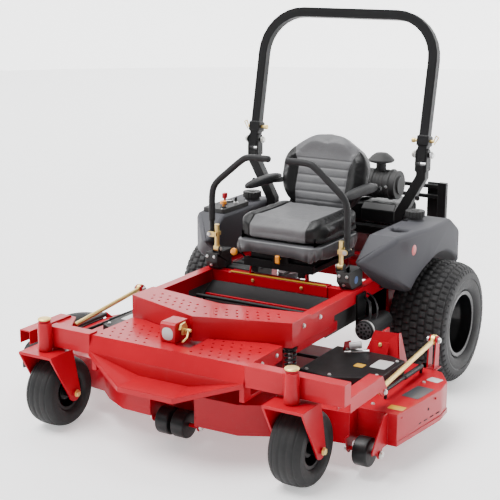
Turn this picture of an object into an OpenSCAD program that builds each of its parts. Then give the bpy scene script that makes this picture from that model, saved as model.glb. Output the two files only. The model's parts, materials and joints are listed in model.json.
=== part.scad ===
// Ride-on zero turn mower with a 72 inch mid-mounted deck.
// Machine frame: X across (+X is the operator's left), -Y forward, +Z up.
// Everything is laid out from the rear axle line on the ground, and place()
// then moves the whole machine so that its box is centred on the origin.

/* [Rear wheels] */
// Radius of the rear tyres
rear_tyre_r = 305; // [290:1:330]
// Width of the rear tyres
rear_tyre_w = 300; // [240:1:300]
// Distance from the centre plane to the middle of each rear tyre
rear_track = 604; // [600:1:660]
// Bead radius of the rear rims
rear_bead_r = 152; // [130:1:180]

/* [Casters] */
// Radius of the caster tyres
caster_r = 163; // [140:1:170]
// Width of the caster tyres
caster_w = 152; // [110:1:160]
// Bead radius of the caster rims
caster_bead_r = 76; // [60:1:90]
// Distance from the centre plane to each swivel axis
swivel_x = 626; // [600:1:680]
// Distance of the swivel axes ahead of the rear axle
swivel_y = 1523; // [1500:1:1560]
// Distance of the caster axle behind its swivel axis
trail = 81; // [60:1:95]
// Radius of the caster stem
stem_r = 19; // [14:0.5:24]
// Outer radius of the swivel tube
swivel_tube_r = 32; // [28:0.5:38]
// Height of the swivel tube
swivel_tube_h = 130; // [100:1:160]

/* [Frame] */
// Outer face of each frame rail from the centre plane
rail_x = 420; // [400:1:435]
// Width of the frame rails
rail_w = 50; // [40:1:60]
// Height of the rails' top face above the ground
rail_top = 560; // [540:1:590]
// Depth of the rails behind the step
rail_h = 62; // [50:1:80]
// Depth of the rails ahead of the step
rail_front_h = 105; // [90:1:120]
// Sheet thickness of the pressed red parts
sheet = 6; // [4:0.5:8]
// Radius of the round perforations of the step plates
grip_hole_r = 6; // [4:0.5:8]
// Distance between neighbouring perforations
grip_pitch = 46; // [36:1:60]

/* [Roll bar] */
// Distance from the centre plane to the middle of each roll bar leg
rops_x = 480; // [460:1:500]
// Side of the square roll bar tube
rops_tube = 50; // [44:1:60]
// Height of the fold pivots
rops_pivot_z = 1120; // [1050:1:1200]
// Height of the top of the hoop
rops_top = 1809; // [1700:1:1900]
// Bend radius of the hoop's corners, to the outside of the tube
rops_bend_r = 240; // [180:1:300]
// Lean of the folding hoop to the rear, in degrees
rops_lean = 12; // [0:0.5:20]

/* [Seat] */
// Width of the seat cushion
seat_w = 470; // [420:1:480]
// Length of the seat cushion from front to rear
seat_l = 430; // [380:1:440]
// Thickness of the seat cushion
seat_t = 115; // [80:1:130]
// Height of the top of the seat cushion
seat_z = 850; // [820:1:880]
// Height of the seat back above the cushion
back_h = 400; // [340:1:430]
// Recline of the seat back, in degrees
back_lean = 16; // [8:0.5:24]
// Length of the armrests
arm_l = 330; // [260:1:340]

/* [Levers] */
// Distance from the centre plane to each steering lever
lever_x = 372; // [360:1:390]
// Radius of the steering levers' tube
lever_r = 15; // [11:0.5:18]
// Height of the steering levers' hand grips
lever_top = 1135; // [1080:1:1180]

/* [Deck] */
// Radius swept by each blade
blade_r = 306; // [290:1:307]
// Distance between the centre spindle and each side spindle, across
spindle_dx = 603; // [600:1:610]
// Distance of the side spindles behind the centre spindle
spindle_dy = 112; // [108:1:116]
// Height of the deck's lower edge
deck_low = 120; // [100:1:130]
// Height of the deck's walls
deck_h = 140; // [120:1:150]
// Sheet thickness of the deck
deck_sheet = 6; // [4:0.5:8]
// Radius of the anti-scalp rollers
roller_r = 62; // [50:1:64]
// Width of the anti-scalp rollers
roller_w = 66; // [50:1:70]
// Radius of the rollers' axle bolts
roller_pin_r = 9; // [7:0.5:12]
// Thickness of the discharge chute
chute_t = 7; // [5:0.5:9]
// Length of the discharge chute along the deck
chute_l = 500; // [400:1:520]

/* [Engine] */
// Radius of the air cleaner canister
cleaner_r = 74; // [60:1:80]
// Radius of the muffler
muffler_r = 54; // [45:1:58]

/* [Fits] */
// Radial running clearance of every shaft in its bore
run_gap = 0.05; // [0.02:0.01:0.1]
// Gap between neighbouring parts that move past each other
air_gap = 3; // [2:0.5:4]

/* [Hidden] */
$fn = 48;

// Colours
red = "#d8121c";
black = "#242528";
dark = "#3a3b3e";
grey = "#8d8f92";
gold = "#d9c08a";
zinc = "#b9bcc0";
orange = "#f08a1c";

// The machine's box before it is centred: chute tip, left skirt, front lip and rear guard
lip_y = swivel_y + 120;
guard_y = 560;
skirt_x = spindle_dx + blade_r + 51;
chute_x = spindle_dx + blade_r + 151;
shift_x = (chute_x - skirt_x) / 2;
shift_y = (lip_y - guard_y) / 2;

// Front end
axle_z = rear_tyre_r;
tube_top = 504;
tube_low = tube_top - swivel_tube_h;
fork_top = tube_low - 2;
fork_sheet = 12;
leg_t = 10;
leg_gap = 7;
leg_in = caster_w / 2 + leg_gap;
fork_half_y = 75;
fork_foot_r = 38;
caster_axle_r = 9.5;
beam_tip_y = swivel_y - 238;
beam_end_y = swivel_y - 372;
beam_low = rail_top - rail_front_h;
beam_depth = 225;
panel_y = swivel_y - 40;
panel_foot_y = swivel_y - 17;
panel_top = 473;
panel_low = 401;
hood_low = 330;
platform_x = 394;
platform_back_y = swivel_y - 335;
arm_h = 92;
arm_d = 58;
arm_low = 388;
spring_x = 400;
spring_y = beam_end_y - 22;
spring_low = 340;
bracket_x = 818;

// Middle
pivot_y = beam_end_y - 79;
pivot_z = beam_low - 22;
floor_z = beam_low;
tray_z = 400;
engine_y = 265;
seat_front_y = 560;
hinge_y = 530;
hinge_z = rail_top + 30;
hinge_r = 6;
seat_low = rail_top + 45;
pan_z = seat_z - seat_t;
back_foot_y = seat_front_y - seat_l + 22;
latch_z = seat_low + 55;
recline_y = back_foot_y - 42;
recline_z = seat_z - 50;
arm_pivot_y = 60;
arm_pivot_z = seat_z + 100;
arm_x = seat_w / 2 + 38;
lever_y = 548;
lever_pivot_z = 668;
swing_z = 742;
lever_pin_r = 6;

// Tanks and roll bar
tank_in = 402;
tank_out = 612;
tank_top = 800;
tank_low = 515;
arch_r = rear_tyre_r + 38;
cap_r = 49;
cap_z = tank_top + 6;
cup_r = 40;
rops_y = 49;
fold_z = rops_pivot_z;

// Deck
deck_top = deck_low + deck_h;
centre_spindle_y = 974;
side_spindle_y = centre_spindle_y - spindle_dy;
blade_z = deck_low + 22;
pulley_z = deck_top + 32;
belt_t = 14;
pulley_r = 72;
spindle_r = 14;
housing_r = 55;
cover_top = deck_top + 64;
hinge_x = spindle_dx + blade_r + 10;
chute_hinge_z = deck_top + 12;
chute_y = side_spindle_y + 338;
link_x = bracket_x;
link_front_y = swivel_y - 395;
link_front_z = 335;
link_rear_y = 548;
link_rear_z = 392;
upright_gap = 13;
front_roller_y = 1368;
side_roller_y = 1232;
roller_z = roller_r + 42;

// ---------------------------------------------------------------- helpers

// Points of an arc, n steps from angle a0 to angle a1
function arc(cx, cy, r, a0, a1, n = 8) =
    [for (i = [0:n]) let (a = a0 + (a1 - a0) * i / n) [cx + r * cos(a), cy + r * sin(a)]];

// Outline of a rectangle with round corners
function round_rect(x0, y0, x1, y1, r) = concat(
    arc(x1 - r, y1 - r, r, 0, 90),
    arc(x0 + r, y1 - r, r, 90, 180),
    arc(x0 + r, y0 + r, r, 180, 270),
    arc(x1 - r, y0 + r, r, 270, 360)
);

module place() translate([shift_x, shift_y, 0]) children();

module box(x0, x1, y0, y1, z0, z1) translate([x0, y0, z0]) cube([x1 - x0, y1 - y0, z1 - z0]);

module rod_x(x0, x1, y, z, r) translate([x0, y, z]) rotate([0, 90, 0]) cylinder(r = r, h = x1 - x0);

module rod_y(x, y0, y1, z, r) translate([x, y0, z]) rotate([-90, 0, 0]) cylinder(r = r, h = y1 - y0);

module rod_z(x, y, z0, z1, r) translate([x, y, z0]) cylinder(r = r, h = z1 - z0);

// Hexagon head of a bolt, lying along X
module hex_x(x0, x1, y, z, r) translate([x0, y, z]) rotate([0, 90, 0]) cylinder(r = r, h = x1 - x0, $fn = 6);

// Hexagon head of an upright bolt
module hex_z(x, y, z0, z1, r) translate([x, y, z0]) cylinder(r = r, h = z1 - z0, $fn = 6);

// Round bar from point a to point b
module bar(a, b, r) {
    d = b - a;
    len = norm(d);
    translate(a) rotate([0, acos(d[2] / len), atan2(d[1], d[0])]) cylinder(r = r, h = len);
}

// Round bar through a list of points, with elbows that stand a little proud
elbow = 0.6;
module bent_bar(points, r) {
    for (i = [0:len(points) - 2]) bar(points[i], points[i + 1], r);
    for (i = [1:len(points) - 2]) translate(points[i]) sphere(r = r + elbow);
}

// Outline given as [y, z] points, extruded from x0 to x1
module side_plate(x0, x1, points)
    translate([x0, 0, 0]) rotate([90, 0, 90]) linear_extrude(x1 - x0) polygon(points);

// Outline given as [x, z] points, extruded from y0 to y1
module cross_plate(y0, y1, points)
    translate([0, y1, 0]) rotate([90, 0, 0]) linear_extrude(y1 - y0) polygon(points);

// Outline given as [x, y] points, extruded from z0 to z1
module flat_plate(z0, z1, points) translate([0, 0, z0]) linear_extrude(z1 - z0) polygon(points);

// The operator's left side as drawn (+1) or its mirror image (-1)
module on_side(s) {
    if (s > 0) children();
    else mirror([1, 0, 0]) children();
}

module both_sides() {
    children();
    mirror([1, 0, 0]) children();
}

// ---------------------------------------------------------------- wheels

// Half outline of a tyre as [radius, half width]: crown, shoulder, sidewall, bead
function tyre_half(r, w, bead) =
    let (wide_r = bead + (r - bead) * 0.52, square = 0.42)
    concat(
        [for (i = [0:10]) let (a = 90 - 9 * i)
            [wide_r + (r - wide_r) * pow(sin(a), square), w / 2 * pow(cos(a), square)]],
        [[bead + 18, w / 2 - 26], [bead, w / 2 - 32]]
    );

module tyre(r, w, bead) {
    half = tyre_half(r, w, bead);
    last = len(half) - 1;
    mirrored = [for (i = [last:-1:1]) [half[i][0], -half[i][1]]];
    rotate([0, 90, 0]) rotate_extrude($fn = 96) polygon(concat(half, mirrored));
}

// Rim barrel with its two flanges, r the bead radius, w the tyre width
module barrel(r, w) {
    edge = w / 2 - 24;
    lip = edge + 6;
    rotate([0, 90, 0]) rotate_extrude($fn = 96) polygon([
        [r, -edge + 3], [r, edge - 3], [r + 12, edge - 1], [r + 13, lip - 1], [r + 10, lip],
        [r - 6, lip - 3], [r - 12, edge - 40], [r - 12, 40 - edge], [r - 6, 3 - lip],
        [r + 10, -lip], [r + 13, 1 - lip], [r + 12, 1 - edge]
    ]);
}

module rear_tyre(s) color(black)
    on_side(s) translate([rear_track, 0, axle_z]) tyre(rear_tyre_r, rear_tyre_w, rear_bead_r);

module rear_rim(s) color(dark) on_side(s) {
    disc_x = rear_track - 20;
    translate([rear_track, 0, axle_z]) barrel(rear_bead_r, rear_tyre_w);
    difference() {
        rod_x(disc_x - 8, disc_x, 0, axle_z, rear_bead_r - 11);
        for (i = [0:7]) rotate_about_axle(i * 45 + 22.5) rod_x(disc_x - 10, disc_x + 2, 100, axle_z, 15);
    }
    rod_x(disc_x, disc_x + 34, 0, axle_z, 42);
    for (i = [0:4]) rotate_about_axle(i * 72) hex_x(disc_x, disc_x + 16, 57, axle_z, 12);
    rod_x(rail_x + 22 + air_gap, disc_x - 8, 0, axle_z, 70);
    rod_x(rail_x - 60, rail_x + 24 + air_gap, 0, axle_z, stem_r - run_gap);
}

// Turns a part about the rear axle line
module rotate_about_axle(a) translate([0, 0, axle_z]) rotate([a, 0, 0]) translate([0, 0, -axle_z]) children();

module at_caster(s) on_side(s) translate([swivel_x, -swivel_y, 0]) children();

module caster_tyre(s) color(black)
    at_caster(s) translate([0, trail, caster_r]) tyre(caster_r, caster_w, caster_bead_r);

module caster_rim(s) color(dark) at_caster(s) difference() {
    union() {
        translate([0, trail, caster_r]) barrel(caster_bead_r, caster_w);
        rod_x(-8, 8, trail, caster_r, caster_bead_r - 11);
        rod_x(-caster_w / 2 + 2, caster_w / 2 - 2, trail, caster_r, 24);
        for (m = [-34, 34]) rod_x(m - 4, m + 4, trail, caster_r, 40);
    }
    rod_x(-caster_w, caster_w, trail, caster_r, caster_axle_r + run_gap);
}

// Outline of a caster fork leg: wide at the crown, round at the axle
fork_leg = concat(
    [[-fork_half_y, fork_top - fork_sheet], [-fork_half_y, fork_top], [fork_half_y, fork_top]],
    arc(trail, caster_r, fork_foot_r, 12, -168, 10)
);

module caster_fork(s) color(red) at_caster(s) {
    box(-leg_in - leg_t, leg_in + leg_t, -fork_half_y, fork_half_y, fork_top - fork_sheet, fork_top);
    for (m = [-1, 1]) {
        x = m > 0 ? leg_in : -leg_in - leg_t;
        side_plate(x, x + leg_t, fork_leg);
        head = m > 0 ? leg_in + leg_t : -leg_in - leg_t - 9;
        hex_x(head, head + 9, trail, caster_r, 15);
    }
    rod_x(-leg_in - 1, leg_in + 1, trail, caster_r, caster_axle_r);
    rod_z(0, 0, fork_top - 1, tube_top + 3, stem_r);
    rod_z(0, 0, tube_top + 1, tube_top + 9, stem_r + 8);
}

// ---------------------------------------------------------------- frame

// Rows of round perforations between x0..x1 and y0..y1, staggered row by row
module grip_holes(x0, x1, y0, y1, z) {
    rows = floor((y1 - y0) / grip_pitch);
    columns = floor((x1 - x0) / grip_pitch);
    for (j = [0:rows], i = [0:columns]) {
        x = x0 + i * grip_pitch + (j % 2) * grip_pitch / 2;
        y = y0 + j * grip_pitch;
        if (x <= x1) rod_z(x, y, z - sheet - 2, z + 2, grip_hole_r);
    }
}

// Front beam in plan: a shallow V that points forward
function beam_outline(in) = [
    [-rail_x + in, -beam_end_y + in], [0, -beam_tip_y + in * 1.05], [rail_x - in, -beam_end_y + in],
    [rail_x - in, -beam_end_y + beam_depth - 60 - in], [0, -beam_tip_y + beam_depth - in],
    [-rail_x + in, -beam_end_y + beam_depth - 60 - in]
];

module front_beam() difference() {
    flat_plate(beam_low, rail_top + 8, beam_outline(0));
    flat_plate(beam_low - 2, rail_top + 8 - sheet, beam_outline(sheet));
    both_sides() for (j = [0:2], i = [0:6]) {
        x = 30 + i * grip_pitch + (j % 2) * grip_pitch / 2;
        y = -beam_tip_y + 55 + j * 42 + x * (beam_tip_y - beam_end_y) / rail_x * 0.8;
        rod_z(x, y, rail_top - 2, rail_top + 10, grip_hole_r);
    }
}

module rail() {
    step_y = -760;
    // deep front length
    box(rail_x - rail_w, rail_x, -beam_end_y + 20, step_y, beam_low, rail_top);
    // shallow length that runs to the rear bumper
    box(rail_x - rail_w, rail_x, step_y - 1, guard_y - 40, rail_top - rail_h, rail_top);
    // hanger plate for the wheel drive, bored for its casing
    difference() {
        box(rail_x - rail_w, rail_x - rail_w + 12, -95, 95, axle_z - 90, rail_top - rail_h + 1);
        rod_x(rail_x - rail_w - 1, rail_x - rail_w + 13, 0, axle_z, 62);
    }
    // lower arm that carries the front end
    difference() {
        box(rail_x - rail_w, rail_x - 15, -beam_end_y + 59, -700, beam_low - 44, beam_low + 1);
        rod_x(rail_x - rail_w - 1, rail_x - 14, -pivot_y, pivot_z, 8 + run_gap);
    }
}

module main_frame() color(red) {
    both_sides() rail();
    front_beam();
    for (y = [-520, -120, 20, 470]) {
        box(-rail_x + rail_w - 1, rail_x - rail_w + 1, y - 25, y + 25, rail_top - rail_h + 2, rail_top - 4);
    }
    // engine plate
    difference() {
        box(-rail_x + rail_w - 1, rail_x - rail_w + 1, 100, 430, rail_top - 8, rail_top - 1);
        rod_z(0, engine_y, rail_top - 10, rail_top, 40);
    }
    // rests for the back of the seat frame
    both_sides() box(140, 170, -135, -105, rail_top - 5, seat_low - 0.5);
    // battery tray, hung from the right rail
    box(-rail_x + rail_w - 1, -150, -480, -300, tray_z - 5, tray_z);
    box(-rail_x + rail_w - 1, -rail_x + rail_w + 5, -480, -300, tray_z - 5, rail_top - rail_h + 2);
    // hitch plate under the rear bumper
    difference() {
        union() {
            box(-70, 70, 440, guard_y - 4, 440, 450);
            box(-70, 70, 440, 450, 445, rail_top - rail_h + 3);
        }
        rod_z(0, guard_y - 40, 430, 460, 9.5);
    }
}

module front_platform() color(red) {
    deck_w = platform_x;
    y0 = -panel_y;
    y1 = -platform_back_y;
    latch_x0 = -96;
    latch_x1 = 72;
    difference() {
        box(-deck_w, deck_w, y0, y1, panel_top - sheet, panel_top);
        under_beam();
        box(-6, latch_x1, y0 + 70, y1 + 1, panel_top - sheet - 1, panel_top + 1);
        for (m = [-1, 1]) {
            x0 = m > 0 ? latch_x1 + 30 : -deck_w + 28;
            x1 = m > 0 ? deck_w - 28 : latch_x0 - 26;
            grip_holes(x0, x1, y0 + 34, y1 - 40, panel_top);
        }
    }
    // side flanges
    both_sides() difference() {
        side_plate(deck_w - sheet, deck_w, [
            [y0, panel_top], [y0 - 20, panel_low], [y0 + 10, panel_low - 4],
            [y1, panel_top - 62], [y1, panel_top]
        ]);
        middle_tube(1);
    }
    // rear flange
    difference() {
        union() {
            box(-deck_w, -6, y1 - sheet, y1, panel_top - 40, panel_top);
            box(latch_x1, deck_w, y1 - sheet, y1, panel_top - 40, panel_top);
        }
        under_beam();
    }
    // front panel: upright, its lower edge dropping to a middle flat
    foot = -panel_foot_y;
    hull() {
        box(-deck_w, deck_w, y0, y0 + sheet, panel_top - 2, panel_top);
        box(-deck_w, deck_w, foot, foot + sheet, panel_low, panel_low + 2);
    }
    hull() {
        box(-deck_w, deck_w, foot, foot + sheet, panel_low, panel_low + 2);
        box(-128, 128, foot, foot + sheet, hood_low + 4, hood_low + 6);
    }
    // hood: three facets that reach forward to the lip
    hull() {
        box(-128, 128, foot, foot + sheet, hood_low + 4, hood_low + 10);
        box(-138, 138, -lip_y, -lip_y + 4, hood_low - 4, hood_low + 2);
    }
    both_sides() {
        hull() {
            box(deck_w - 4, deck_w, foot, foot + sheet, panel_low - 6, panel_low + 2);
            box(124, 128, foot, foot + sheet, hood_low + 4, hood_low + 10);
            box(134, 138, -lip_y, -lip_y + 4, hood_low - 4, hood_low + 2);
        }
        // lip flange
        hull() {
            box(deck_w - 4, deck_w, foot - 1, foot + 4, panel_low - 16, panel_low + 2);
            box(134, 138, -lip_y, -lip_y + 5, hood_low - 18, hood_low + 2);
        }
    }
    box(-138, 138, -lip_y, -lip_y + 5, hood_low - 18, hood_low + 2);
}

// Room for the front beam, which overhangs the platform's rear edge
module under_beam() flat_plate(beam_low - air_gap, panel_top + 1, beam_outline(-air_gap - 1));

module swivel_tube() difference() {
    rod_z(0, 0, tube_low, tube_top, swivel_tube_r);
    rod_z(0, 0, tube_low - 1, tube_top + 1, stem_r + run_gap);
}

module caster_carrier() color(red) {
    front = -swivel_y + 22;
    both_sides() translate([swivel_x, -swivel_y, 0]) swivel_tube();
    // cross tube: full section outboard, kept clear of the two swivel bores
    difference() {
        union() {
            box(-swivel_x, -platform_x - 0.5, front, front + arm_d, arm_low, arm_low + arm_h);
            box(platform_x + 0.5, bracket_x + 28, front, front + arm_d, arm_low, arm_low + arm_h);
        }
        both_sides() rod_z(swivel_x, -swivel_y, arm_low - 1, arm_low + arm_h + 1, swivel_tube_r - 4);
    }
    // slimmer section that runs inside the platform
    middle_tube(0);
    // spring seats that reach back under the front beam
    both_sides() {
        box(spring_x - 34, spring_x - 9, front + arm_d - 2, -spring_y + 36, spring_low - 24, spring_low - 8);
        box(spring_x - 34, spring_x - 9, front + 6, front + arm_d, spring_low - 24, arm_low + 2);
        rod_z(spring_x, -spring_y, spring_low - 16, spring_low, 34);
        side_plate(rail_x - rail_w - 18, rail_x - rail_w - 2, [
            [-spring_y + 11, spring_low - 24], [-pivot_y - 13, spring_low - 24], [-pivot_y + 14, pivot_z - 13],
            [-pivot_y + 14, pivot_z + 15], [-pivot_y - 14, pivot_z + 15], [-spring_y + 11, spring_low]
        ]);
        rod_x(rail_x - rail_w - 20, rail_x - 11, -pivot_y, pivot_z, 8);
    }
    // outboard brackets for the deck links
    both_sides() link_bracket();
    // tie plate from the right swivel tube to its link bracket
    flat_plate(arm_low + 4, arm_low + 14, [
        [-swivel_x - 18, front + 2], [-swivel_x + 40, front + arm_d], [-link_x + 50, -link_front_y - 6],
        [-link_x - 20, -link_front_y - 6], [-link_x - 20, -link_front_y - 60]
    ]);
}

// The cross tube's middle length, drawn g larger for its slots
module middle_tube(g)
    box(-platform_x - 1.5, platform_x + 1.5, -panel_y + 13 - g, -swivel_y + 80 + g,
        arm_low - g, panel_top - sheet - 1 + g);

// Channel that reaches back from the cross tube to a deck link's front pivot
module link_bracket() {
    y0 = -swivel_y + 78;
    y1 = -link_front_y - 24;
    difference() {
        box(link_x - 34, link_x + 28, y0, y1, arm_low - 40, arm_low + 24);
        box(link_x - 28, link_x + 22, y0 - 1, y1 + 1, arm_low - 41, arm_low + 18);
    }
    for (x = [link_x - 34, link_x + 22]) side_plate(x, x + 6, [
        [y1 - 60, arm_low + 24], [y1, arm_low + 24], [y1 + 44, link_front_z + 14],
        [y1 + 44, link_front_z - 16], [y1 + 4, link_front_z - 16], [y1 - 30, arm_low - 40]
    ]);
    rod_x(link_x - 35, link_x + 29, -link_front_y, link_front_z, 8);
}

// Red housing in the middle of the platform that takes the tilt latch
module latch_box() color(red) {
    y0 = -1402;
    difference() {
        side_plate(-88, -10, [
            [y0, panel_top + 1], [y0, panel_top + 78], [y0 + 12, panel_top + 88],
            [y0 + 100, panel_top + 88], [y0 + 118, panel_top + 60], [y0 + 118, panel_top + 1]
        ]);
        side_plate(-82, -16, [
            [y0 + 6, panel_top - 1], [y0 + 6, panel_top + 74], [y0 + 16, panel_top + 82],
            [y0 + 96, panel_top + 82], [y0 + 112, panel_top + 56], [y0 + 112, panel_top - 1]
        ]);
        rod_x(-20, -9, y0 + 58, panel_top + 50, 7);
    }
}

module tilt_latch() color(black) {
    y = -1344;
    z = panel_top + 50;
    rod_x(-15, 34, y, z, 7 - run_gap);
    side_plate(-6, 4, [
        [y - 18, z - 20], [y + 14, z - 24], [y + 20, z + 10], [y + 4, z + 34],
        [y - 26, z + 30], [y - 40, z + 8], [y - 22, z + 12]
    ]);
    bent_bar([[20, y, z], [26, y - 20, z - 26], [30, y - 60, z - 34]], 5);
}

module support_springs() color(black) both_sides() {
    h = beam_low - spring_low;
    turns = 6;
    rod_z(spring_x, -spring_y, spring_low, spring_low + h, 20);
    for (i = [0:turns - 1]) translate([spring_x, -spring_y, spring_low + 8 + i * (h - 16) / (turns - 1)])
        rotate_extrude() translate([24, 0]) circle(r = 6.5, $fn = 24);
}

// ---------------------------------------------------------------- floor and seat

module floor_pan() color(black) {
    side_plate(-rail_x + rail_w + 4, rail_x - rail_w - 4, [
        [-beam_tip_y + beam_depth + 10, floor_z - 5], [-640, floor_z - 5], [-556, floor_z + 45],
        [-556, floor_z + 52], [-642, floor_z], [-beam_tip_y + beam_depth + 10, floor_z]
    ]);
    // foot bar on two posts
    rod_x(-340, 340, -735, floor_z + 22, 9);
    both_sides() rod_z(300, -735, floor_z - 1, floor_z + 20, 7);
}

module floor_lip() color(red) {
    member = -545;
    side_plate(-272, 272, [
        [member - 7, floor_z + 53], [member - 7, rail_top - 4], [member - 1, rail_top + 2],
        [-500, rail_top + 2], [-500, rail_top - 4], [member, rail_top - 4], [member, floor_z + 53]
    ]);
    // cleat across the floor
    box(-335, 335, -668, -658, floor_z, floor_z + 16);
    // hinge ears of the seat frame
    both_sides() difference() {
        side_plate(150, 158, concat(
            [[-hinge_y - 16, rail_top + 2]], [[-hinge_y + 16, rail_top + 2]],
            arc(-hinge_y, hinge_z, 14, 0, 180)
        ));
        rod_x(149, 159, -hinge_y, hinge_z, hinge_r + run_gap);
    }
}

module control_boxes() color(black) both_sides() {
    x0 = lever_x - 42;
    x1 = tank_in - 4;
    top = lever_pivot_z - 20;
    side_plate(x0, x1, [
        [-572, rail_top + 40], [-566, top], [-430, top], [-430, rail_top], [-535, rail_top]
    ]);
    // ears and pin of the steering lever
    for (x = [lever_x - 50, lever_x - 15]) side_plate(x, x + 5, concat(
        [[-lever_y - 16, top - 8], [-lever_y + 16, top - 8]],
        arc(-lever_y, lever_pivot_z, 15, 0, 180)
    ));
    box(lever_x - 50, lever_x - 10, -lever_y - 16, -lever_y + 16, top - 8, top - 4);
    rod_x(lever_x - 51, lever_x - 9, -lever_y, lever_pivot_z, lever_pin_r);
}

module drive_lever(s) color(gold) on_side(s) {
    post_x = lever_x - 30;
    difference() {
        union() {
            rod_x(post_x - 14, post_x + 14, -lever_y, lever_pivot_z, 15);
            rod_z(post_x, -lever_y, lever_pivot_z + 9, 790, 12);
        }
        rod_x(post_x - 16, post_x + 16, -lever_y, lever_pivot_z, lever_pin_r + run_gap);
    }
    // clevis that lets the lap bar swing outwards
    for (m = [-1, 1]) {
        y0 = m > 0 ? -lever_y + 19 : -lever_y - 25;
        cross_plate(y0, y0 + 6, concat(
            [[post_x, swing_z - 13]], arc(lever_x, swing_z, 13, -90, 90), [[post_x, swing_z + 13]]
        ));
    }
    for (m = [-1, 1]) {
        y0 = m > 0 ? -lever_y + 8 : -lever_y - 24;
        box(post_x - 8, post_x + 9, y0, y0 + 16, swing_z - 10, swing_z + 10);
    }
    rod_y(lever_x, -lever_y - 27, -lever_y + 27, swing_z, lever_pin_r);
}

module lap_bar(s) color(dark) on_side(s) difference() {
    union() {
        rod_y(lever_x, -lever_y - 17, -lever_y + 17, swing_z, lever_r + 2);
        bent_bar([
            [lever_x, -lever_y, swing_z + 4], [lever_x - 2, -lever_y, lever_top - 185],
            [lever_x - 22, -lever_y, lever_top - 140], [lever_x - 172, -lever_y, lever_top - 18],
            [lever_x - 205, -lever_y, lever_top - 4], [40, -lever_y, lever_top]
        ], lever_r);
    }
    rod_y(lever_x, -lever_y - 18, -lever_y + 18, swing_z, lever_pin_r + run_gap);
}

module seat_base() color(black) {
    // lower frame with the hinge pins
    both_sides() {
        box(110, 190, -520, -95, seat_low, seat_low + 25);
        box(110, 146, -hinge_y - 12, -hinge_y + 12, hinge_z - 12, seat_low + 4);
        rod_x(144, 160, -hinge_y, hinge_z, hinge_r);
    }
    box(-190, 190, -545, -518, hinge_z + 14, seat_low + 40);
    box(-190, 190, -120, -95, seat_low, seat_low + 40);
    // suspension bellows
    box(-165, 165, -519, -121, seat_low + 24, pan_z - 34);
    // upper pan and front skirt
    box(-200, 200, -545, -150, pan_z - 35, pan_z - 2);
    side_plate(-200, 200, [
        [-546, pan_z - 48], [-562, pan_z - 42], [-570, pan_z - 20], [-560, pan_z - 2], [-544, pan_z - 2]
    ]);
    // plate that guides the latch
    difference() {
        box(-30, 60, -546, -540, seat_low + 30, pan_z - 30);
        rod_y(13, -548, -538, latch_z, 5 + run_gap);
    }
}

module seat_cushion() color(grey) {
    half = seat_w / 2;
    y0 = -seat_front_y;
    y1 = -back_foot_y - 8;
    box(-half + 20, half - 20, y0 + 14, -recline_y + 20, pan_z, pan_z + 6);
    side_plate(-half, half, concat(
        [[y1, pan_z + 6], [y1, seat_z - 14]], arc(y1 - 14, seat_z - 14, 14, 0, 90, 4),
        arc(y0 + 40, seat_z - 40, 40, 90, 180, 6), [[y0 + 8, pan_z + 6]]
    ));
    // ears and pins of the recline hinge
    both_sides() {
        side_plate(half - 22, half - 14, concat(
            [[-recline_y - 16, pan_z + 1], [-recline_y + 16, pan_z + 1]],
            arc(-recline_y, recline_z, 16, 0, 180)
        ));
        rod_x(half - 40, half - 12, -recline_y, recline_z, hinge_r);
    }
}

// Side outline of the seat back, leaning to the rear
back_outline = [for (p = concat(
        arc(-54, back_h - 42, 42, 0, 180, 12),
        [[-96, 30], [-84, 12]], [[-12, 12]]))
    let (u = p[0] + 96, v = p[1])
    [-back_foot_y + u * cos(back_lean) + v * sin(back_lean), seat_z - 30 + v * cos(back_lean) - u * sin(back_lean)]];

module seat_back() color(grey) {
    half = seat_w / 2;
    difference() {
        union() {
            side_plate(-half + 3, half - 3, back_outline);
            // hinge blocks that reach down to the recline pins
            both_sides() side_plate(half - 40, half - 24, [
                [-recline_y - 14, recline_z - 14], [-recline_y + 16, recline_z - 14],
                [-recline_y + 50, recline_z + 50], [-recline_y + 10, recline_z + 50]
            ]);
        }
        both_sides() {
            rod_x(half - 60, half - 20, -recline_y, recline_z, hinge_r + run_gap);
            box(half - 23.5, half + 5, -recline_y - 40, -recline_y + 24, recline_z - 40, recline_z + 27);
        }
    }
    both_sides() rod_x(half - 4, half + 32, -arm_pivot_y, arm_pivot_z, 7);
}

module armrest(s) color(dark) on_side(s) difference() {
    union() {
        rod_x(seat_w / 2 + 4, seat_w / 2 + 30, -arm_pivot_y, arm_pivot_z, 20);
        side_plate(seat_w / 2 + 8, arm_x + 28, concat(
            arc(-arm_pivot_y - arm_l + 26, arm_pivot_z + 6, 26, 90, 250, 6),
            [[-arm_pivot_y - 120, arm_pivot_z - 26], [-arm_pivot_y, arm_pivot_z - 16]],
            [[-arm_pivot_y + 16, arm_pivot_z + 4], [-arm_pivot_y, arm_pivot_z + 30]]
        ));
    }
    rod_x(seat_w / 2, seat_w / 2 + 36, -arm_pivot_y, arm_pivot_z, 7 + run_gap);
}

module seat_latch() color(orange) {
    y0 = -seat_front_y - 15;
    side_plate(2, 24, [
        [y0, latch_z - 15], [y0, latch_z + 18], [y0 + 6, latch_z + 22], [y0 + 11, latch_z + 22],
        [y0 + 11, latch_z - 20], [y0 + 6, latch_z - 20]
    ]);
    rod_y(13, y0 + 10, -530, latch_z, 5);
}

// ---------------------------------------------------------------- tanks and controls

tank_side = concat(
    [[-545, 690], [-390, tank_top]],
    arc(110, tank_top - 60, 60, 90, 60, 2),
    arc(215, tank_top - 125, 60, 50, -10, 4),
    [[270, tank_low + 30], [262, tank_low], [-285, tank_low], [-530, 680]]
);
tank_plan = concat(
    [[tank_in, -545], [tank_in + 26, -545], [tank_out - 55, -400], [tank_out, -120]],
    arc(tank_out - 50, 225, 50, 0, 90, 4),
    [[tank_in, 275]]
);

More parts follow.
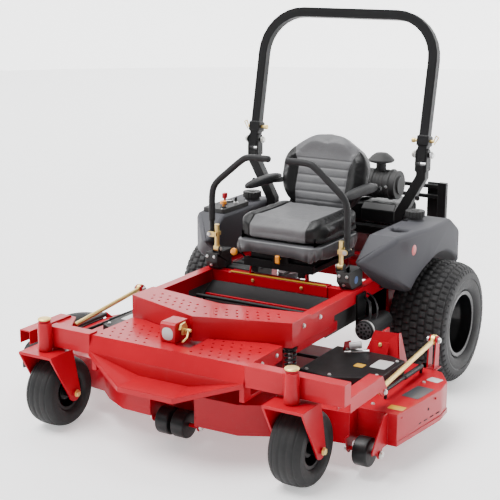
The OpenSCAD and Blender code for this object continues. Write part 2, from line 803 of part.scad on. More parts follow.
module fuel_tank(s) color(dark) on_side(s) {
    difference() {
        intersection() {
            side_plate(tank_in, tank_out, tank_side);
            flat_plate(tank_low - 5, tank_top + 5, tank_plan);
        }
        rod_x(rail_x + 15, tank_out + 5, 0, axle_z, arch_r);
        // the rails and the control box pass along the inner face
        box(tank_in - 5, rail_x + 4, -600, 300, tank_low - 5, rail_top + 4);
        if (s > 0) rod_z(tank_in + 92, -235, tank_top - 68, tank_top + 6, cup_r);
    }
    rod_z(tank_in + 68, 0, tank_top - 1, tank_top + 34, cap_r - 14);
}

module fuel_cap(s) color(black) on_side(s) difference() {
    union() {
        rod_z(tank_in + 68, 0, cap_z + 12, cap_z + 42, cap_r);
        rod_z(tank_in + 68, 0, cap_z, cap_z + 14, cap_r - 9);
    }
    rod_z(tank_in + 68, 0, cap_z - 1, cap_z + 34, cap_r - 14 + run_gap);
    for (i = [0:17]) translate([tank_in + 68, 0, 0]) rotate(i * 20) rod_z(cap_r + 2, 0, cap_z + 10, cap_z + 44, 5);
}

throttle_x = -tank_in - 70;
throttle_y = -270;
throttle_z = tank_top + 13;

module side_console() color(dark) difference() {
    union() {
        flat_plate(tank_top, tank_top + 22, round_rect(-tank_in - 138, -375, -tank_in - 12, -120, 14));
        rod_z(-tank_in - 38, -335, tank_top + 20, tank_top + 30, 16);
    }
    box(throttle_x - 5, throttle_x + 5, throttle_y - 34, throttle_y + 34, tank_top + 2, tank_top + 24);
    rod_x(throttle_x - 12, throttle_x + 12, throttle_y, throttle_z, 4);
    rod_z(-tank_in - 38, -335, tank_top + 4, tank_top + 31, 6 + run_gap);
}

module throttle_lever() color(red) {
    rod_x(throttle_x - 11, throttle_x + 11, throttle_y, throttle_z, 4 - run_gap);
    side_plate(throttle_x - 3, throttle_x + 3, concat(
        arc(throttle_y, throttle_z, 8, 180, 360), [[throttle_y + 7, throttle_z + 50], [throttle_y - 7, throttle_z + 50]]
    ));
    side_plate(throttle_x - 8, throttle_x + 8, round_rect(throttle_y - 14, throttle_z + 44, throttle_y + 14, throttle_z + 72, 6));
}

module pto_knob() color(orange) {
    rod_z(-tank_in - 38, -335, tank_top + 16, tank_top + 44, 6);
    rod_z(-tank_in - 38, -335, tank_top + 43, tank_top + 58, 17);
}

// ---------------------------------------------------------------- roll bar

rops_foot_x = tank_in - rops_tube / 2 - 7;
rops_knee_z = tank_top + 5;
rops_bend_z = fold_z - 110;

module rops_base() color(black) {
    t = rops_tube;
    slope = (rops_bend_z - rops_knee_z) / (rops_x - rops_foot_x);
    both_sides() {
        cross_plate(rops_y - t / 2, rops_y + t / 2, [
            [rops_foot_x - t / 2, rail_top], [rops_foot_x + t / 2, rail_top],
            [rops_foot_x + t / 2, rops_knee_z], [rops_x + t / 2, rops_bend_z - 8],
            [rops_x + t / 2, fold_z - 50], [rops_x - t / 2, fold_z - 50],
            [rops_x - t / 2, rops_bend_z + 8], [rops_foot_x - t / 2, rops_knee_z + 14]
        ]);
        // cheeks that hold the fold pivot
        for (x = [rops_x - t / 2 - 6, rops_x + t / 2]) side_plate(x, x + 6, concat(
            [[rops_y - 28, fold_z - 82], [rops_y + 28, fold_z - 82]],
            arc(rops_y, fold_z + 4, 28, 0, 180)
        ));
        rod_x(rops_x - t / 2 - 14, rops_x + t / 2 + 14, rops_y, fold_z, 8);
        hex_x(rops_x + t / 2 + 6, rops_x + t / 2 + 18, rops_y, fold_z, 14);
    }
    box(-rops_foot_x, rops_foot_x, rops_y - t / 2, rops_y + t / 2, 690, 735);
}

// Hoop drawn upright from the fold pivots, then leaned to the rear
module rops_hoop() color(black) {
    t = rops_tube - 2;
    out = rops_x + t / 2;
    rise = (rops_top - fold_z - t / 2 * sin(rops_lean)) / cos(rops_lean);
    difference() {
        translate([0, rops_y, fold_z]) rotate([-rops_lean, 0, 0]) {
            cross_plate(-t / 2, t / 2, concat(
                [[out, -38]], arc(out - rops_bend_r, rise - rops_bend_r, rops_bend_r, 0, 90),
                arc(rops_bend_r - out, rise - rops_bend_r, rops_bend_r, 90, 180), [[-out, -38]],
                [[t - out, -38]], arc(rops_bend_r - out, rise - rops_bend_r, rops_bend_r - t, 180, 90),
                arc(out - rops_bend_r, rise - rops_bend_r, rops_bend_r - t, 90, 0), [[out - t, -38]]
            ));
            // sleeves of the lock pins
            both_sides() difference() {
                box(rops_x - t / 2 - 7, rops_x + t / 2 + 7, -t / 2 - 7, t / 2 + 7, 44, 92);
                rod_x(rops_x - 60, rops_x + 60, 0, 68, 8);
            }
        }
        rod_x(-rops_x - t, rops_x + t, rops_y, fold_z, 8 + run_gap);
        translate([0, rops_y, fold_z]) rotate([-rops_lean, 0, 0]) rod_x(-rops_x - 60, rops_x + 60, 0, 68, 8);
    }
}

module rops_pins() color(gold) translate([0, rops_y, fold_z]) rotate([-rops_lean, 0, 0]) both_sides() {
    rod_x(rops_x - 52, rops_x + 50, 0, 68, 8);
    rod_x(rops_x - 66, rops_x - 50, 0, 68, 12);
    bent_bar([[rops_x + 46, 0, 62], [rops_x + 60, -6, 96], [rops_x + 74, -6, 88], [rops_x + 52, 0, 52]], 2.5);
}

// ---------------------------------------------------------------- engine

module engine_block() color(dark) {
    box(-140, 140, 150, 390, rail_top - 1, 700);
    both_sides() {
        rod_x(139, 250, engine_y, 650, 58);
        for (i = [0:4]) rod_x(155 + i * 20, 163 + i * 20, engine_y, 650, 72);
        box(249, 290, engine_y - 60, engine_y + 60, 595, 710);
    }
    rod_z(0, engine_y, 470, rail_top, 16);
    rod_z(0, engine_y, 470, 500, 68);
}

module engine_cowl() color(grey) {
    rod_z(0, engine_y, 735, 820, 165);
    rod_z(0, engine_y, 819, 838, 110);
    both_sides() side_plate(120, 305, [
        [110, 735], [110, 800], [140, 832], [360, 832], [400, 790], [400, 735]
    ]);
    box(-120, 120, engine_y - 100, engine_y + 100, 700, 736);
}

module air_cleaner() color(black) {
    y = 215;
    z = 846 + cleaner_r;
    rod_x(80, 285, y, z, cleaner_r);
    rod_x(284, 296, y, z, cleaner_r - 26);
    rod_x(150, 160, y, z, cleaner_r + 6);
    rod_x(240, 252, y, z, cleaner_r + 6);
    rod_z(180, y, z + cleaner_r - 8, z + cleaner_r + 40, 26);
    translate([180, y, z + cleaner_r + 39]) rotate_extrude() polygon(concat(
        [[0, 0], [60, 0]], arc(60, 10, 8, -60, 60, 4), [[50, 32], [30, 46], [0, 50]]
    ));
}

module muffler() color(zinc) {
    rod_x(-200, 200, 470, 640, muffler_r);
    both_sides() bent_bar([[270, 331, 650], [270, 400, 640], [190, 468, 640]], 16);
    rod_y(150, 470, 552, 620, 18);
}

module engine_guard() color(black) {
    y0 = guard_y - 40;
    both_sides() {
        box(372, 418, y0, y0 + 30, rail_top - rail_h, 890);
        box(300, 414, guard_y - 9, guard_y, 670, 885);
        box(372, 418, y0 + 29, guard_y - 8, 680, 880);
    }
    box(-373, 373, y0 + 10, guard_y - 9, 855, 875);
    box(-373, 373, y0 + 10, guard_y - 9, 800, 820);
    box(-373, 373, y0, guard_y - 4, rail_top - rail_h, rail_top - 18);
}

module hydro_drives() color(dark) both_sides() {
    difference() {
        union() {
            rod_x(300, rail_x + 22, 0, axle_z, 62);
            rod_x(284, 310, 0, axle_z, 84);
        }
        rod_x(rail_x - 62, rail_x + 23, 0, axle_z, stem_r);
    }
    box(220, 290, -55, 90, axle_z - 50, axle_z + 75);
    rod_z(255, 30, axle_z + 74, axle_z + 100, 20);
    rod_z(255, 30, axle_z + 99, axle_z + 125, 62);
}

module lift_motor() color(black) {
    rod_y(500, -620, -400, 400, 45);
    rod_y(500, -400, -380, 400, 30);
    box(rail_x, rail_x + 12, -545, -455, 360, 540);
    box(rail_x + 11, 470, -545, -455, 378, 422);
}

module battery() color(black) {
    box(-345, -165, -468, -312, tray_z, tray_z + 160);
    for (x = [-315, -195]) rod_z(x, -340, tray_z + 159, tray_z + 176, 9);
}

// ---------------------------------------------------------------- deck

// Deck wall in plan, with pockets for the rollers, anticlockwise from the front pocket
function corner(s) = [
    [s * 300, -1400], [s * 425, -1335], [s * 505, -1268], [s * 626, -1252], [s * 742, -1240], [s * 742, -1162]
];
function reversed(list) = [for (i = [len(list) - 1:-1:0]) list[i]];
deck_plan = concat(
    [[-145, -1290], [84, -1290], [84, -1405]], corner(1),
    [[skirt_x - 40, -1162], [skirt_x, -800], [skirt_x - 10, -700], [880, -590], [760, -545]],
    [[-760, -545], [-880, -590], [-hinge_x, -660], [-hinge_x, -1162]],
    reversed(corner(-1)), [[-145, -1405]]
);

module roller_plates(x0, x1, y) for (x = [x0, x1]) side_plate(x, x + 6, concat(
    [[y + 40, deck_low + 40], [y - 38, deck_low + 40]], arc(y, roller_z, 20, 200, 340, 6)
));

module deck_shell() color(red) {
    difference() {
        union() {
            difference() {
                flat_plate(deck_low, deck_top, deck_plan);
                translate([0, 0, deck_low - 1]) linear_extrude(deck_h - deck_sheet + 1)
                    offset(delta = -deck_sheet) polygon(deck_plan);
                // discharge opening
                box(-hinge_x - 2, -hinge_x + 30, -chute_y + 50, -chute_y + chute_l - 30, deck_low - 2, deck_top - 12);
            }
            for (p = spindles) rod_z(p[0], -p[1], deck_top - 44, deck_top + 12, housing_r);
        }
        for (p = spindles) rod_z(p[0], -p[1], deck_low, deck_top + 20, spindle_r + run_gap);
    }
    // front roller brackets and bolt
    roller_plates(-151, 84, -front_roller_y);
    rod_x(-155, 94, -front_roller_y, roller_z, roller_pin_r);
    // side roller brackets and bolts
    both_sides() {
        roller_plates(736, 872, -side_roller_y);
        rod_x(732, 882, -side_roller_y, roller_z, roller_pin_r);
    }
    // skirt plates ahead of the side rollers
    both_sides() side_plate(872, 878, [
        [-1156, deck_low], [-1156, deck_top], [-1200, deck_top], [-1300, deck_low + 20], [-1300, deck_low]
    ]);
    // uprights of the deck links
    both_sides() {
        for (x = [link_x - upright_gap - 6, link_x + upright_gap]) side_plate(x, x + 6, concat(
            [[-link_rear_y - 34, deck_top - 1], [-link_rear_y + 20, deck_top - 1]],
            arc(-link_rear_y, link_rear_z, 20, 0, 180)
        ));
        rod_x(link_x - upright_gap - 10, link_x + upright_gap + 10, -link_rear_y, link_rear_z, 8);
        box(link_x - 60, link_x + 30, -link_rear_y - 34, -link_rear_y + 24, deck_top - 1, deck_top + 5);
    }
    // lift bracket
    both_sides() side_plate(590, 600, [[-655, deck_top - 1], [-610, 415], [-550, 415], [-566, deck_top - 1]]);
    // hinge of the chute
    rod_y(-hinge_x - 12, -chute_y - 8, -chute_y + chute_l + 8, chute_hinge_z, 6);
    for (y = [-chute_y - 8, -chute_y + chute_l + 2]) cross_plate(y, y + 6, concat(
        [[-hinge_x + 40, deck_top - 2], [-hinge_x + 40, deck_top + 4]],
        arc(-hinge_x - 12, chute_hinge_z, 13, 60, 240), [[-hinge_x - 0, deck_top - 12]]
    ));
}

spindles = [[spindle_dx, side_spindle_y], [0, centre_spindle_y], [-spindle_dx, side_spindle_y]];

module belt_covers() color(black) {
    both_sides() difference() {
        flat_plate(deck_top, cover_top, [
            [390, -1040], [560, -1060], [745, -960], [745, -700], [660, -668], [390, -668]
        ]);
        flat_plate(deck_top - 1, cover_top - 5, [
            [389, -1034], [558, -1054], [739, -957], [739, -704], [658, -674], [389, -674]
        ]);
    }
    // gas spring of the deck
    both_sides() {
        bar([800, -1020, 298], [800, -820, 296], 8);
        bar([800, -830, 296], [800, -640, 292], 12);
        for (y = [-1020, -646]) box(794, 806, y - 6, y + 6, deck_top, 296);
    }
}

module deck_belt() color(black)
    translate([0, 0, pulley_z - belt_t / 2]) linear_extrude(belt_t) difference() {
        hull() for (p = spindles) translate([p[0], -p[1]]) circle(r = pulley_r + 10);
        hull() for (p = spindles) translate([p[0], -p[1]]) circle(r = pulley_r + 0.5);
    }

module blade(x, y, turn) color(dark) translate([x, -y, 0]) {
    top = pulley_z + 17;
    rod_z(0, 0, blade_z, top + 8, spindle_r);
    rod_z(0, 0, blade_z + 8, blade_z + 26, 34);
    rod_z(0, 0, top - 34, top, pulley_r);
    hex_z(0, 0, blade_z - 12, blade_z + 1, 20);
    rotate(turn) {
        box(-blade_r + 4, blade_r - 4, -30, 30, blade_z, blade_z + 8);
        for (a = [0, 180]) rotate(a) translate([0, 0, blade_z + 7]) cross_wing();
    }
}

// Raised trailing edge at a blade's end
module cross_wing() rotate([90, 0, 90]) translate([0, 0, blade_r - 120])
    linear_extrude(112) polygon([[12, 0], [30, 0], [40, 26], [36, 28]]);

module roller(x, y) color(black) difference() {
    translate([x - roller_w / 2, -y, roller_z]) rotate([0, 90, 0]) rotate_extrude() polygon(concat(
        [[0, 0]], [[roller_r - 8, 0]], arc(roller_r - 8, 8, 8, -90, 0, 4),
        arc(roller_r - 8, roller_w - 8, 8, 0, 90, 4), [[0, roller_w]]
    ));
    rod_x(x - roller_w, x + roller_w, -y, roller_z, roller_pin_r + run_gap);
}

module discharge_chute() color(black) {
    cx = -hinge_x - 14;
    big = chute_x - hinge_x - 14;
    cz = chute_hinge_z + 11 - big;
    y0 = -chute_y;
    y1 = -chute_y + chute_l;
    difference() {
        union() {
            cross_plate(y0, y1, concat(
                arc(cx, cz, big, 92, 180, 12), [[cx - big, cz - 44], [cx - big + chute_t, cz - 44]],
                arc(cx, cz, big - chute_t, 180, 92, 12)
            ));
            rod_y(-hinge_x - 12, y0, y1, chute_hinge_z, 11);
            for (y = [y0, y1 - chute_t]) cross_plate(y, y + chute_t, concat(
                arc(cx, cz, big - 1, 92, 180, 12), [[cx - big + 1, cz - 44], [cx - 30, cz - 20]]
            ));
        }
        rod_y(-hinge_x - 12, y0 - 1, y1 + 1, chute_hinge_z, 6 + run_gap);
    }
}

module lift_link(s) color(gold) on_side(s) difference() {
    union() {
        bar([link_x, -link_front_y, link_front_z], [link_x, -link_rear_y - 18, link_rear_z - 2], 11);
        rod_x(link_x - 10, link_x + 10, -link_front_y, link_front_z, 16);
        rod_x(link_x - 9, link_x + 9, -link_rear_y, link_rear_z, 23);
    }
    rod_x(link_x - 12, link_x + 12, -link_front_y, link_front_z, 8 + run_gap);
    rod_x(link_x - 12, link_x + 12, -link_rear_y, link_rear_z, 17);
}

// ---------------------------------------------------------------- nodes

place() main_frame();
place() front_platform();
place() caster_carrier();
place() latch_box();
place() support_springs();
place() floor_pan();
place() floor_lip();
place() control_boxes();
place() fuel_tank(1);  // fuel_tank_left
place() fuel_tank(-1);  // fuel_tank_right
place() side_console();
place() rops_base();
place() engine_block();
place() engine_cowl();
place() air_cleaner();
place() muffler();
place() engine_guard();
place() hydro_drives();
place() lift_motor();
place() battery();
place() tilt_latch();
place() rops_hoop();
place() rops_pins();
place() rear_tyre(1);  // rear_tyre_left
place() rear_rim(1);  // rear_rim_left
place() rear_tyre(-1);  // rear_tyre_right
place() rear_rim(-1);  // rear_rim_right
place() caster_fork(1);  // caster_fork_left
place() caster_tyre(1);  // caster_tyre_left
place() caster_rim(1);  // caster_rim_left
place() caster_fork(-1);  // caster_fork_right
place() caster_tyre(-1);  // caster_tyre_right
place() caster_rim(-1);  // caster_rim_right
place() drive_lever(1);  // drive_lever_left
place() lap_bar(1);  // lap_bar_left
place() drive_lever(-1);  // drive_lever_right
place() lap_bar(-1);  // lap_bar_right
place() seat_base();
place() seat_cushion();
place() seat_back();
place() armrest(1);  // armrest_left
place() armrest(-1);  // armrest_right
place() seat_latch();
place() throttle_lever();
place() pto_knob();
place() fuel_cap(1);  // fuel_cap_left
place() fuel_cap(-1);  // fuel_cap_right
place() deck_shell();
place() belt_covers();
place() deck_belt();
place() discharge_chute();
place() blade(spindle_dx, side_spindle_y, 8);  // blade_left
place() blade(0, centre_spindle_y, 8);  // blade_centre
place() blade(-spindle_dx, side_spindle_y, 8);  // blade_right
place() roller(6, front_roller_y);  // roller_front_left
place() roller(-76, front_roller_y);  // roller_front_right
place() roller(810, side_roller_y);  // roller_side_left
place() roller(-810, side_roller_y);  // roller_side_right
place() lift_link(1);  // lift_link_left
place() lift_link(-1);  // lift_link_right
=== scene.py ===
"""Looks of a zero turn mower: finishes, tyres, seat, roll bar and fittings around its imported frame."""

import json
import logging
import math
from dataclasses import dataclass
from enum import Enum
from typing import Any, Callable, Optional, Sequence, Union

import bmesh
import bpy
import numpy as np
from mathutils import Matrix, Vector

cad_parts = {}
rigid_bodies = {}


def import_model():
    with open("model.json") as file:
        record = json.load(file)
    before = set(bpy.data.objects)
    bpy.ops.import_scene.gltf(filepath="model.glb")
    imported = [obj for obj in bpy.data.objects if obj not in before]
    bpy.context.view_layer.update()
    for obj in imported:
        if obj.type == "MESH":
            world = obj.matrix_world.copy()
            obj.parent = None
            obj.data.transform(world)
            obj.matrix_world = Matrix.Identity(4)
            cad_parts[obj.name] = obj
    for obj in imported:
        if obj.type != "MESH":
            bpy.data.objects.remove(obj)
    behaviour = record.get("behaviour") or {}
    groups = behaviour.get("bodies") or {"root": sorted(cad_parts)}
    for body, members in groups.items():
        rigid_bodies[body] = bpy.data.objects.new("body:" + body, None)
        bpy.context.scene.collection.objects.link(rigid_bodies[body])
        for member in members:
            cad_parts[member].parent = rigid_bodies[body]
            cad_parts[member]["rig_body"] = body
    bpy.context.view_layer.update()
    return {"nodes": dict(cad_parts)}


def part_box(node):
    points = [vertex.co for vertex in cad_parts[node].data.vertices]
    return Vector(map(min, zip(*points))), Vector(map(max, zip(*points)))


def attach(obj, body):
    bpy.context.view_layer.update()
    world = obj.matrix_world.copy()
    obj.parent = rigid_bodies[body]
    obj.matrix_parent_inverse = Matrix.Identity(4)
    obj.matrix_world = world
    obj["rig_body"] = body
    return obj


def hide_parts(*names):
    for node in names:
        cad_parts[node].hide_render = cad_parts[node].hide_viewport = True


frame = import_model()

Array = np.ndarray
Colour = tuple[float, float, float]
Place = tuple[float, float, float]

log = logging.getLogger("mower")


class Side(Enum):
    """The operator's left or right, with its sign along X."""

    LEFT = 1
    RIGHT = -1

    @property
    def word(self) -> str:
        """The side's name as node names spell it."""
        return self.name.lower()


class Axis(Enum):
    """A row of the frame's axes."""

    X = 0
    Y = 1
    Z = 2


# ---------------------------------------------------------------- places


def drive_axle() -> Array:
    """Works out the machine's datum.

    Returns:
        The point on the ground midway between the drive rims.
    """
    low_l, high_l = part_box("rear_rim_left")
    low_r, high_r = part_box("rear_rim_right")
    return np.array([(high_l.x + low_r.x) / 2, (low_l.y + high_l.y) / 2, 0.0])


DATUM = drive_axle()


def at(points: Any) -> Array:
    """Moves machine places, counted from the axle's middle on the ground, into the row frame.

    Args:
        points: one place or an array of them, in metres.

    Returns:
        The same places in the row frame.
    """
    return np.asarray(points, float) + DATUM


def smooth(edge0: float, edge1: float, x: Array) -> Array:
    """A soft step: 0 below edge0, 1 above edge1, and 3t^2 - 2t^3 between."""
    t = np.clip((x - edge0) / (edge1 - edge0), 0.0, 1.0)
    return t * t * (3.0 - 2.0 * t)


def signed_power(x: Array, p: float) -> Array:
    """x raised to p with its sign kept, for superellipses."""
    return np.sign(x) * np.abs(x) ** p


# ---------------------------------------------------------------- shader graphs


class Signal:
    """A node's output that takes part in Python arithmetic by adding Math nodes."""

    def __init__(self, graph: "Graph", socket: bpy.types.NodeSocket) -> None:
        """Keeps the graph and the socket."""
        self.graph = graph
        self.socket = socket

    def _math(self, operation: str, a: "Value", b: "Value" = 0.0) -> "Signal":
        """Adds one Math node on a and b."""
        return self.graph.node("ShaderNodeMath", {"operation": operation}, {0: a, 1: b})

    def __add__(self, other: "Value") -> "Signal":
        """self + other."""
        return self._math("ADD", self, other)

    def __radd__(self, other: "Value") -> "Signal":
        """other + self."""
        return self._math("ADD", other, self)

    def __sub__(self, other: "Value") -> "Signal":
        """self - other."""
        return self._math("SUBTRACT", self, other)

    def __rsub__(self, other: "Value") -> "Signal":
        """other - self."""
        return self._math("SUBTRACT", other, self)

    def __mul__(self, other: "Value") -> "Signal":
        """self * other."""
        return self._math("MULTIPLY", self, other)

    def __rmul__(self, other: "Value") -> "Signal":
        """other * self."""
        return self._math("MULTIPLY", other, self)

    def __truediv__(self, other: "Value") -> "Signal":
        """self / other."""
        return self._math("DIVIDE", self, other)

    def __abs__(self) -> "Signal":
        """The size of self without its sign."""
        return self._math("ABSOLUTE", self)

    def wave(self) -> "Signal":
        """The sine of self."""
        return self._math("SINE", self)

    def ramp(self, low: float, high: float) -> "Signal":
        """Maps low..high to 0..1 softly and clamps outside."""
        return self.graph.node(
            "ShaderNodeMapRange",
            {"interpolation_type": "SMOOTHSTEP", "clamp": True},
            {"Value": self, "From Min": low, "From Max": high},
        )


Value = Union[Signal, float, int, Sequence[float]]


class Graph:
    """A material's node tree around one Principled shader."""

    def __init__(self, name: str) -> None:
        """Starts an empty material with a Principled shader."""
        self.material = bpy.data.materials.new(name)
        self.material.use_nodes = True
        self.tree = self.material.node_tree
        self.tree.nodes.clear()
        out = self.tree.nodes.new("ShaderNodeOutputMaterial")
        self.shader = self.tree.nodes.new("ShaderNodeBsdfPrincipled")
        self.tree.links.new(self.shader.outputs[0], out.inputs["Surface"])
        self._object: Optional[Signal] = None

    def node(self, kind: str, settings: Optional[dict[str, Any]] = None,
             values: Optional[dict[Union[str, int], Value]] = None, out: Union[int, str] = 0) -> Signal:
        """Adds any node.

        Args:
            kind: the node's type.
            settings: attributes set first, such as an operation.
            values: values or signals of its inputs, by name or number.
            out: which output to return.

        Returns:
            The chosen output.
        """
        made = self.tree.nodes.new(kind)
        for key, value in (settings or {}).items():
            setattr(made, key, value)
        for key, value in (values or {}).items():
            if isinstance(value, Signal):
                self.tree.links.new(value.socket, made.inputs[key])
            else:
                made.inputs[key].default_value = value
        return Signal(self, made.outputs[out])

    def place(self) -> Signal:
        """The surface point in Object coordinates."""
        if self._object is None:
            self._object = self.node("ShaderNodeTexCoord", out="Object")
        return self._object

    def along(self, axis: Axis, zero: float = 0.0) -> Signal:
        """The Object coordinate along an axis, counted from zero."""
        part = self.node("ShaderNodeSeparateXYZ", values={0: self.place()}, out=axis.value)
        return part - zero if zero else part

    def noise(self, scale: float, detail: float = 3.0, rough: float = 0.5,
              stretch: Optional[Place] = None) -> Signal:
        """Noise of a given scale in cells per metre, stretched where asked."""
        where = self.place()
        if stretch:
            where = self.node("ShaderNodeMapping", values={"Vector": where, "Scale": stretch})
        return self.node("ShaderNodeTexNoise", values={
            "Vector": where, "Scale": scale, "Detail": detail, "Roughness": rough})

    def cells(self, scale: float, feature: str = "F1") -> Signal:
        """Distance in a cell pattern of a given scale."""
        return self.node("ShaderNodeTexVoronoi", {"feature": feature},
                         {"Vector": self.place(), "Scale": scale}, out="Distance")

    def mix(self, factor: Value, a: Value, b: Value) -> Signal:
        """Mixes two colours by a factor."""
        def four(c: Value) -> Value:
            """Adds the alpha that a colour socket wants."""
            return c if isinstance(c, Signal) else (*c, 1.0)
        return self.node("ShaderNodeMix", {"data_type": "RGBA"}, {0: factor, 6: four(a), 7: four(b)}, out=2)

    def put(self, name: str, value: Value) -> None:
        """Sets or links one of the shader's own sockets."""
        socket = self.shader.inputs[name]
        if isinstance(value, Signal):
            self.tree.links.new(value.socket, socket)
        elif isinstance(value, (tuple, list)) and len(value) == 3 and socket.type == "RGBA":
            socket.default_value = (*value, 1.0)
        else:
            socket.default_value = value

    def relief(self, height: Signal, distance: float, strength: float = 1.0) -> None:
        """Feeds a height through a Bump node into Normal."""
        self.put("Normal", self.node("ShaderNodeBump", values={
            "Strength": strength, "Distance": distance, "Height": height}))


# ---------------------------------------------------------------- finishes


@dataclass(frozen=True)
class Finish:
    """A named finish; each kind says how it dresses a graph."""

    name: str
    colour: Colour

    def dress(self, g: Graph) -> None:
        """Fills the graph; kinds override it."""
        g.put("Base Color", self.colour)

    def material(self) -> bpy.types.Material:
        """Makes the material once and returns it."""
        found = bpy.data.materials.get(self.name)
        if found:
            return found
        g = Graph(self.name)
        self.dress(g)
        return g.material


@dataclass(frozen=True)
class Enamel(Finish):
    """Baked enamel: a coat over colour, with orange peel, road dust low down and fine scuffs."""

    rough: float = 0.32
    coat: float = 0.85
    dust: float = 0.10

    def dress(self, g: Graph) -> None:
        """Colour shifts slowly, dust gathers low, scuffs dull the coat."""
        drift = g.noise(3.0, 4.0).ramp(0.3, 0.7)
        dark = tuple(c * 0.82 for c in self.colour)
        body = g.mix(drift, self.colour, dark)
        grime = g.noise(38.0, 6.0, 0.65).ramp(0.52, 0.78) * (1.0 - g.along(Axis.Z).ramp(0.1, 0.75)) * self.dust
        g.put("Base Color", g.mix(grime, body, (0.16, 0.13, 0.11)))
        scuff = g.noise(90.0, 5.0, 0.7, (1.0, 0.12, 1.0)).ramp(0.62, 0.75)
        g.put("Roughness", self.rough + scuff * 0.12 + grime * 1.2)
        g.put("Coat Weight", self.coat - scuff * 0.25 - grime)
        g.put("Coat Roughness", 0.07)
        g.put("Specular IOR Level", 0.15)
        g.relief(g.noise(240.0, 2.0), 0.00035, 0.22)


@dataclass(frozen=True)
class PowderCoat(Finish):
    """Satin powder coat: fine pebble relief and worn sheen."""

    rough: float = 0.42
    pebble: float = 0.0006

    def dress(self, g: Graph) -> None:
        """A pebbled surface with slow changes of sheen."""
        drift = g.noise(6.0, 4.0).ramp(0.3, 0.72)
        worn = g.noise(55.0, 6.0, 0.7).ramp(0.6, 0.8)
        g.put("Base Color", g.mix(worn * 0.35, self.colour, tuple(c * 2.2 + 0.004 for c in self.colour)))
        g.put("Roughness", self.rough + drift * 0.1 - worn * 0.08)
        g.put("Specular IOR Level", 0.22)
        g.relief(g.cells(650.0) * 0.6 + g.noise(420.0, 2.0) * 0.4, self.pebble, 0.35)


@dataclass(frozen=True)
class Moulded(Finish):
    """Moulded plastic: leather-like grain with pale scuffs."""

    rough: float = 0.5
    grain: float = 480.0

    def dress(self, g: Graph) -> None:
        """Grain from cells and noise, scuffs from stretched noise."""
        scuff = g.noise(30.0, 8.0, 0.75, (0.4, 1.0, 1.6)).ramp(0.6, 0.85)
        g.put("Base Color", g.mix(scuff * 0.4, self.colour, tuple(c * 1.9 + 0.006 for c in self.colour)))
        g.put("Roughness", self.rough + scuff * 0.14 - g.noise(9.0).ramp(0.35, 0.7) * 0.08)
        g.put("Specular IOR Level", 0.24)
        g.relief(g.cells(self.grain) * 0.7 + g.noise(self.grain * 0.5, 3.0) * 0.3, 0.0005, 0.4)


@dataclass(frozen=True)
class Rubber(Finish):
    """Tyre or roller rubber: matt, dusty in patches, faintly mottled."""

    rough: float = 0.72
    dust: Colour = (0.09, 0.085, 0.08)
    lift: float = 0.3

    def dress(self, g: Graph) -> None:
        """Mottling by noise, dust by a second noise, skin relief by cells."""
        film = g.noise(14.0, 6.0, 0.6).ramp(0.35, 0.8)
        g.put("Base Color", g.mix(film * self.lift, self.colour, self.dust))
        g.put("Roughness", self.rough + film * 0.12 - g.noise(70.0).ramp(0.4, 0.7) * 0.06)
        g.put("Specular IOR Level", 0.28)
        g.relief(g.noise(310.0, 4.0, 0.6) + g.cells(900.0) * 0.3, 0.0005, 0.3)


@dataclass(frozen=True)
class Plated(Finish):
    """Plated or machined steel, with a passivation tint and drawn lines."""

    tint: Colour = (0.7, 0.7, 0.7)
    rough: float = 0.3
    lines: Place = (1.0, 1.0, 1.0)

    def dress(self, g: Graph) -> None:
        """Tint drifts in patches, lines follow the stretch."""
        patch = g.noise(22.0, 4.0, 0.6).ramp(0.35, 0.7)
        drawn = g.noise(160.0, 4.0, 0.6, self.lines)
        g.put("Base Color", g.mix(patch, self.colour, self.tint))
        g.put("Metallic", 1.0)
        g.put("Roughness", self.rough + drawn * 0.16 + patch * 0.08)
        g.relief(drawn, 0.0003, 0.25)


@dataclass(frozen=True)
class Casting(Finish):
    """Bare casting: granular, oily in patches."""

    rough: float = 0.5
    metal: float = 0.7

    def dress(self, g: Graph) -> None:
        """Grain by fine noise, oil by slow noise."""
        oil = g.noise(12.0, 5.0, 0.6).ramp(0.48, 0.7)
        g.put("Base Color", g.mix(oil * 0.75, self.colour, tuple(c * 0.4 for c in self.colour)))
        g.put("Metallic", self.metal)
        g.put("Roughness", self.rough - oil * 0.16)
        g.relief(g.noise(520.0, 5.0, 0.7), 0.0009, 0.5)


@dataclass(frozen=True)
class SeatVinyl(Finish):
    """Coated seat fabric in two tones: a pale middle panel between dark bolsters."""

    bolster: Colour = (0.0042, 0.0042, 0.0046)
    panel: float = 0.15
    flare: float = 0.0
    flare_from: float = 0.0
    rows: tuple[float, ...] = ()
    row_axis: Axis = Axis.Y
    grain: float = 620.0

    def dress(self, g: Graph) -> None:
        """The panel's edge widens along Y by flare; rows are stitched channels across it."""
        across = abs(g.along(Axis.X, float(DATUM[0])))
        edge = across
        if self.flare:
            rise = g.node("ShaderNodeMath", {"operation": "MAXIMUM"}, {0: g.along(Axis.Z, self.flare_from), 1: 0.0})
            edge = across + rise * self.flare
        dark = edge.ramp(self.panel - 0.0012, self.panel + 0.0012)
        tone = g.noise(7.0, 5.0, 0.6).ramp(0.3, 0.75)
        pale = g.mix(tone, self.colour, tuple(c * 0.84 for c in self.colour))
        weave = g.noise(420.0, 2.0, 0.5, (1.0, 0.35, 0.35)).ramp(0.35, 0.7)
        pale = g.mix(weave * 0.28, pale, tuple(c * 0.62 for c in self.colour))
        g.put("Base Color", g.mix(dark, pale, self.bolster))
        crease = g.noise(24.0, 6.0, 0.65).ramp(0.4, 0.7)
        g.put("Roughness", 0.5 - dark * 0.1 + crease * 0.08)
        g.put("Specular IOR Level", 0.30)
        skin = g.cells(self.grain, "SMOOTH_F1") * 0.8 + g.noise(self.grain * 0.4, 3.0) * 0.3
        g.relief(skin + crease * 1.6, 0.0007, 0.42)


